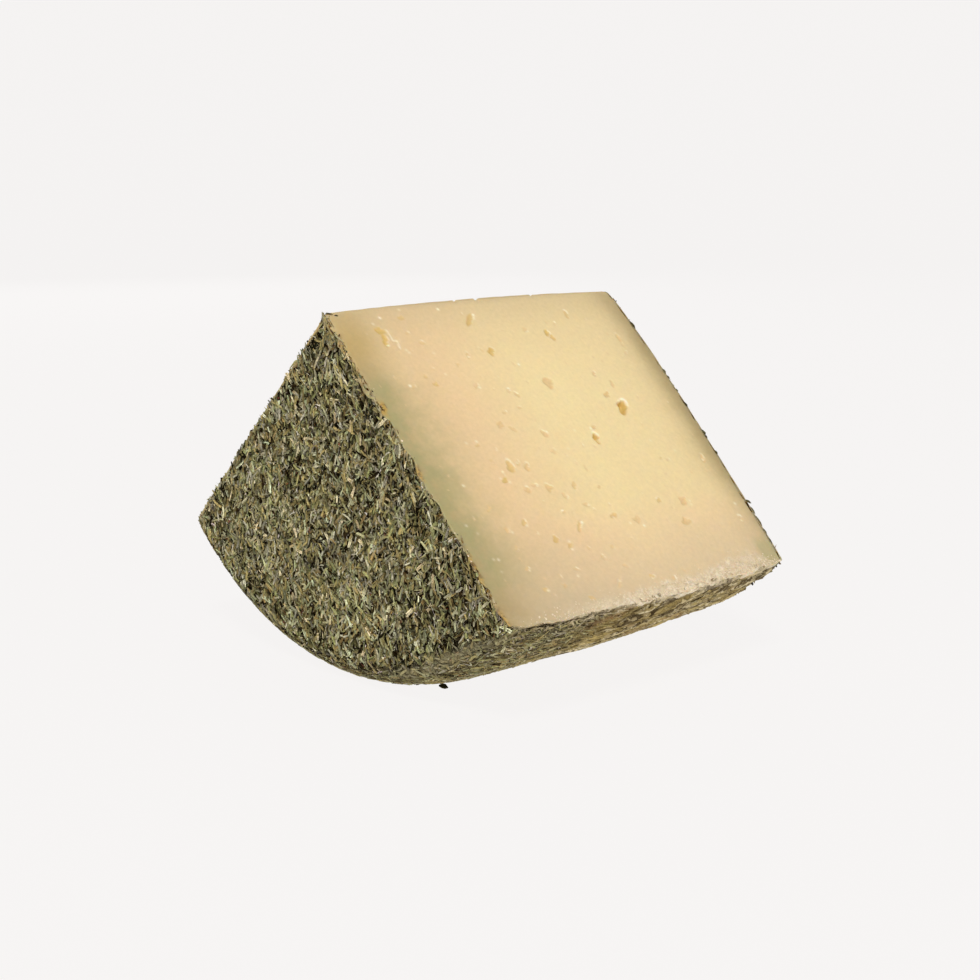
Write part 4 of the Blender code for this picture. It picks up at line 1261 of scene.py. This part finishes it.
def lay_herbs(context, kind):
    """A joined mesh of one kind of herb over the coat. Short ones are more common than long
    ones, those on the rim are longer, thinner and flatter, and the deeper ones are darker, which
    is painted shade deep in the coat. On the sides they follow low mounds and are paler on them,
    which is painted light."""
    look = context.scene.cheese.herbs
    wheel = wheel_of(context)
    count = getattr(look, kind.key + "_count")
    spots = Spots(wheel, count, kind.seed, kind.rim)
    draw = np.random.default_rng(kind.seed + 50)
    frames = flake_frames(spots, draw, look, math.radians(kind.tilt))
    long = between(kind.length, draw.random(count) ** 1.5) * (1 + 0.6 * spots.calm)
    width = between(kind.width, draw.random(count) ** 1.4) * (1 - 0.2 * spots.calm)
    low, thick = (value * MM for value in kind.depth)
    deep = draw.uniform(low, thick, count) * (1 - 0.6 * spots.pressed)
    sizes = long, width, deep
    local = flake_forms(SHAPES[kind.shape], draw, sizes, kind.bend, 1 - spots.pressed)
    rise = draw.random(count)
    mound = rough(spots.point, look.mound_width, 57, 2) * (1 - spots.pressed)
    height = between(kind.lift, rise) * (1 - 0.5 * spots.pressed)
    height = height + look.mound * mound - 0.00015 * spots.calm - 0.0003 * spots.band
    height = height - 0.0006 * spots.shoulder - 0.0002 * (spots.meridian > 2)
    centre = spots.point + spots.normal * height[:, None]
    points = keep_clear(wheel, look, spots, stand(local, centre, frames), draw)
    patch = rough(spots.point, 0.011, 63, 2) * (1 - spots.pressed)
    # Painted shade and light: the deeper a herb lies, the darker its tint, and on the mounds it is paler
    tint = draw.normal(0.3, 0.36, count) + 0.8 * (rise - 0.5)
    tint = tint + look.mound_tint * mound + 0.1 * patch
    hue = draw.uniform(*kind.hues, count)
    edge = spots.cut_edge * (draw.random(count) < 0.7)
    marks = {"tint": tint, "hue": hue, "pressed": spots.calm, "band": spots.band}
    marks.update(floury=spots.floury, cut_edge=edge)
    tones = getattr(look, kind.key + "_low"), getattr(look, kind.key + "_high")
    material = herb_material(kind.piece, *tones, look, context.scene.cheese.coat)
    flake_mesh(kind.piece, SHAPES[kind.shape], points, marks, material)


def lay_step(context, step):
    """All the kinds of herb of one step."""
    for kind in HERBS:
        if kind.step == step:
            lay_herbs(context, kind)
    return {"FINISHED"}


def prism(rings, section, ribbed=False):
    """Rings of a closed cross-section, joined by quads and closed by a face at each end.
    The corners lie across, along and out of the herb."""
    sides = len(section)
    corner = np.arange(sides)
    after = (corner + 1) % sides
    ring = np.stack([corner, after, after + sides, corner + sides], axis=-1)
    quads = np.concatenate([ring + step * sides for step in range(len(rings) - 1)])
    ends = np.stack([corner[::-1], corner + (len(rings) - 1) * sides])
    corners = [(x * swell, place, z * swell) for place, swell in rings for x, z in section]
    return np.array(corners), [quads, ends], ribbed


# A splinter of four faces, a ridge from end to end over a wider middle, and the other shapes
SHAPES = {
    "sliver": (
        np.array([(0.0, -0.5, 0.8), (0.05, 0.5, 0.7), (-0.5, -0.05, 0.0), (0.5, 0.1, 0.1)]),
        [np.array([(0, 1, 2), (1, 0, 3), (2, 1, 3), (0, 2, 3)])], False),
    "needle": prism(
        ((-0.5, 0.75), (0.05, 1.0), (0.5, 0.6)), ((-0.5, 0.0), (0.5, 0.0), (0.08, 1.0))),
    "fibre": prism(
        ((-0.5, 0.6), (-0.18, 1.0), (0.18, 1.0), (0.5, 0.5)), ((-0.5, 0.0), (0.5, 0.0), (0.0, 0.9))),
    "twig": prism(
        ((-0.5, 0.6), (-0.28, 0.95), (0.0, 1.0), (0.27, 0.9), (0.5, 0.5)),
        ((-0.5, 0.0), (0.5, 0.0), (0.06, 0.9))),
    "stem": prism(
        ((-0.5, 0.95), (0.0, 1.0), (0.5, 0.9)),
        ((-0.5, 0.0), (0.5, 0.0), (0.42, 0.8), (0.12, 0.4), (-0.12, 0.4), (-0.42, 0.8)), True),
    "leaf": prism(
        ((-0.5, 0.25), (-0.2, 0.9), (0.15, 1.0), (0.5, 0.15)),
        ((-0.5, 0.35), (0.0, 0.0), (0.5, 0.35), (0.0, 0.4)), True),
    "crumb": prism(
        ((-0.5, 0.4), (0.05, 1.0), (0.5, 0.35)), ((-0.5, 0.05), (0.0, -0.4), (0.5, 0.1), (0.05, 0.5))),
}


def loose_flakes(wheel, look, coat):
    """The named dark flakes on the front cut and beside it, and the one that hangs below."""
    table = np.array(LOOSE_FLAKES)
    draw = np.random.default_rng(61)
    across, down, behind, long, width, deep = (table[:, :6] * MM).T
    heading = np.radians(table[:, 6])[:, None]
    normal = wheel.cut_normal(-1)
    below = np.array([0, -math.sin(wheel.half_cut), -math.cos(wheel.half_cut)])
    along = np.cos(heading) * below - np.sin(heading) * AXIS
    aside = np.cross(along, normal)
    frames = aside, along, np.broadcast_to(normal, aside.shape)
    local = flake_forms(SHAPES["leaf"], draw, (long, width, deep), 0.04, np.zeros(len(table)))
    points = stand(local, wheel.on_cut(-1, across, down, -behind), frames)
    place, sizes = np.split(np.array(HANGING_FLAKE), 2)
    local = flake_forms(SHAPES["leaf"], draw, sizes[:, None], 0.12, np.ones(1))
    points = np.concatenate([points, stand(local, place[None], HANGING_AXES[:, None])])
    tint = np.concatenate([[0.35, 0.25], draw.uniform(0.3, 0.8, len(table) - 2), [0.1]])
    marks = dict.fromkeys(("tint", "hue", "pressed", "band", "floury", "cut_edge"), 0 * tint)
    marks.update(tint=tint, hue=0 * tint + 0.4)
    material = herb_material("loose_flakes", look.dark_low, look.dust_high, look, coat)
    flake_mesh("loose_flakes", SHAPES["leaf"], points, marks, material)


def add_crumbs(wheel, look):
    """Loose crumbs on both cuts: most on the band above the rim, denser towards it and away
    from the left side, and a few along the border of the coat."""
    draw = np.random.default_rng(71)
    count = look.crumb_count
    parts = []
    for side in (-1, 1):
        across = 0.0035 + 0.0925 * draw.random(count) ** (0.6 if side < 0 else 1.4)
        turn = side * wheel.half_cut
        limit = wheel.radius(turn) - wheel.fall(across - wheel.half, turn)
        limit = limit - look.rim_border - look.rim_coat * ease((0.046 - across) / 0.012)
        drop = np.abs(draw.normal(0, 0.5, count)) * np.interp(across / MM, *CRUMB_BAND) * MM
        down = limit - 0.0002 - drop
        beside = draw.random(count) < 0.03
        across = np.where(beside, draw.uniform(0.0001, 0.0012, count), across)
        down = np.where(beside, draw.uniform(0.018, 0.088, count), down)
        centre = wheel.on_cut(side, across, down, draw.uniform(-0.00012, 0.0001, count))
        long = 0.0002 + 0.0004 * draw.random(count) ** 2
        size = long, long * draw.uniform(0.7, 1.1, count), long * draw.uniform(0.5, 0.9, count)
        heading = draw.uniform(0, 2 * math.pi, count)[:, None]
        normal = wheel.cut_normal(side)
        along = np.cos(heading) * AXIS + np.sin(heading) * np.cross(AXIS, normal)
        frames = np.cross(along, normal), along, np.broadcast_to(normal, along.shape)
        local = flake_forms(SHAPES["crumb"], draw, size, 0.05, np.ones(count))
        parts.append(stand(local, centre, frames))
    points = np.concatenate(parts)
    paint = Paint("crumbs")
    # The crumbs range from the painted shade colour to the crumb colour
    paint.tone = paint.ramp("tint", (0.0, look.pit), (1.0, look.crumb))
    tint = np.clip(draw.normal(0.5, 0.25, len(points)), 0, 1)
    marks = {"tint": tint, "pressed": 0 * tint}
    flake_mesh("crumbs", SHAPES["crumb"], points, marks, paint.finish({"Roughness": 0.7}))


class CHEESE_OT_paste(bpy.types.Operator):
    """Build the paste with its eyes, its crumbly band and its rind tones"""

    bl_idname = "cheese.paste"
    bl_label = "Paste"

    def execute(self, context):
        settings = context.scene.cheese
        thing = paste_piece(wheel_of(context), settings.paste, settings.coat)
        finish_piece(thing, paste_material(settings.paste), "cheese")
        return {"FINISHED"}


class CHEESE_OT_crumbs(bpy.types.Operator):
    """Strew crumbs of paste along the cuts' lower edges"""

    bl_idname = "cheese.crumbs"
    bl_label = "Crumbs"

    def execute(self, context):
        add_crumbs(wheel_of(context), context.scene.cheese.paste)
        return {"FINISHED"}


class CHEESE_OT_coat(bpy.types.Operator):
    """Build the coat's layer below the loose herbs"""

    bl_idname = "cheese.coat"
    bl_label = "Coat layer"

    def execute(self, context):
        look = context.scene.cheese.coat
        finish_piece(coat_piece(wheel_of(context), look), coat_material(look), "cheese")
        return {"FINISHED"}


class CHEESE_OT_needles(bpy.types.Operator):
    """Lay the dark, olive and grey-green needles"""

    bl_idname = "cheese.needles"
    bl_label = "Needles"

    def execute(self, context):
        return lay_step(context, "needles")


class CHEESE_OT_bits(bpy.types.Operator):
    """Lay the small olive and pale bits"""

    bl_idname = "cheese.bits"
    bl_label = "Bits"

    def execute(self, context):
        return lay_step(context, "bits")


class CHEESE_OT_stems(bpy.types.Operator):
    """Lay the chopped stems, the thin fibres and the twigs"""

    bl_idname = "cheese.stems"
    bl_label = "Stems"

    def execute(self, context):
        return lay_step(context, "stems")


class CHEESE_OT_leaves(bpy.types.Operator):
    """Lay the leaf bits, the reddish bits and the named loose flakes"""

    bl_idname = "cheese.leaves"
    bl_label = "Leaves"

    def execute(self, context):
        settings = context.scene.cheese
        lay_step(context, "leaves")
        loose_flakes(wheel_of(context), settings.herbs, settings.coat)
        return {"FINISHED"}


class CHEESE_OT_dust(bpy.types.Operator):
    """Strew the fine herb dust"""

    bl_idname = "cheese.dust"
    bl_label = "Dust"

    def execute(self, context):
        return lay_step(context, "dust")


def studio_floor(look):
    """A round floor that sweeps up: a profile turned about Z. The profile is flat up to its
    reach, then a quarter circle."""
    bend = look.wall_height
    turn = np.linspace(0, math.pi / 2, 13)
    flat = [0, 0.3, 0.8, look.floor_reach * 0.75]
    out = np.concatenate((flat, look.floor_reach + bend * np.sin(turn)))[:, None]
    high = np.concatenate((np.zeros(4), bend * (1 - np.cos(turn))))[:, None]
    about = np.linspace(0, 2 * math.pi, 73)
    points = np.stack(np.broadcast_arrays(out * np.cos(about), out * np.sin(about), high), axis=-1)
    points[:, -1] = points[:, 0]
    points[0] = 0
    rows, columns = points.shape[:2]
    points = points.reshape(-1, 3)
    first, quads, triangles = weld(points, grid_faces(rows, columns))
    return make_mesh("studio_floor", points[first], [quads, triangles], {})


def floor_material(look):
    paint = Paint("studio_floor")
    faint = paint.ramp(paint.cloud(3, 2), (0.3, 0.99), (0.7, 1.0))
    plain = [value * (1 - look.glow) for value in look.floor]
    paint.tone = paint.blend(1.0, plain, faint, "MULTIPLY")
    return paint.finish({
        "Roughness": 1.0, "Specular IOR Level": 0.0, "Emission Color": look.floor,
        "Emission Strength": look.glow})


def add_light(name, place, size, watts, target=(0, 0, 0.045)):
    """A square soft light that faces a target."""
    light = bpy.data.lights.new(name, "AREA")
    light.size = size
    light.energy = watts
    thing = bpy.data.objects.new(name, light)
    thing.location = place
    back = unit(np.array(place, float) - np.array(target, float))
    thing.rotation_euler = (math.acos(back[2]), 0, math.atan2(back[0], -back[1]))
    bpy.context.scene.collection.objects.link(thing)


class CHEESE_OT_studio(bpy.types.Operator):
    """Set up the pale floor, the soft lights and the camera"""

    bl_idname = "cheese.studio"
    bl_label = "Studio"

    def execute(self, context):
        look = context.scene.cheese.studio
        floor = studio_floor(look)
        floor.data.materials.append(floor_material(look))
        add_light("key_light", (-0.62, -0.62, 1.1), 0.3, look.key_power)
        add_light("fill_light", (0.6, -1.0, 0.5), 0.7, look.fill_power)
        add_light("top_light", (0.1, 0.35, 1.1), 0.8, look.top_power)
        add_light("back_light", (0.55, 1.1, 0.5), 0.7, look.back_power)
        world = bpy.data.worlds.new("studio_sky")
        context.scene.world = world
        world.use_nodes = True
        sky = world.node_tree.nodes["Background"]
        sky.inputs["Color"].default_value = (1, 1, 1, 1)
        sky.inputs["Strength"].default_value = look.sky
        context.scene.view_settings.view_transform = "Standard"
        camera = bpy.data.cameras.new("camera")
        camera.lens = look.focal
        camera.sensor_width = 36
        thing = bpy.data.objects.new("camera", camera)
        thing.location = wheel_of(context).apex + np.array(look.camera_place)
        thing.rotation_euler = (math.pi / 2 - look.camera_tilt, 0, -look.camera_heading)
        context.scene.collection.objects.link(thing)
        context.scene.camera = thing
        return {"FINISHED"}


class CHEESE_PT_panel(bpy.types.Panel):
    """Lists the steps and the settings"""

    bl_label = "Herb-coated cheese"
    bl_idname = "CHEESE_PT_panel"
    bl_space_type = "VIEW_3D"
    bl_region_type = "UI"
    bl_category = "Cheese"

    def draw(self, context):
        settings = context.scene.cheese
        for step in STEPS:
            self.layout.operator(step.bl_idname)
        for key in ("wheel", "paste", "coat", "herbs", "studio"):
            box = self.layout.box()
            box.label(text=key.capitalize())
            group = getattr(settings, key)
            for name in group.__annotations__:
                box.prop(group, name)


STEPS = (
    CHEESE_OT_studio, CHEESE_OT_paste, CHEESE_OT_crumbs, CHEESE_OT_coat, CHEESE_OT_needles,
    CHEESE_OT_bits, CHEESE_OT_stems, CHEESE_OT_leaves, CHEESE_OT_dust,
)
GROUPS = (WheelSizes, PasteLook, CoatLook, HerbLook, StudioLook, CheeseSettings)


def register():
    for kind in (*GROUPS, *STEPS, CHEESE_PT_panel):
        bpy.utils.register_class(kind)
    bpy.types.Scene.cheese = child("Cheese", "The cheese", CheeseSettings)


def unregister():
    del bpy.types.Scene.cheese
    for kind in reversed((*GROUPS, *STEPS, CHEESE_PT_panel)):
        bpy.utils.unregister_class(kind)


def main():
    register()
    bpy.ops.cheese.studio()
    bpy.ops.cheese.paste()
    bpy.ops.cheese.crumbs()
    bpy.ops.cheese.coat()
    bpy.ops.cheese.needles()
    bpy.ops.cheese.bits()
    bpy.ops.cheese.stems()
    bpy.ops.cheese.leaves()
    bpy.ops.cheese.dust()
    bpy.context.view_layer.update()


if __name__ == "__main__":
    main()
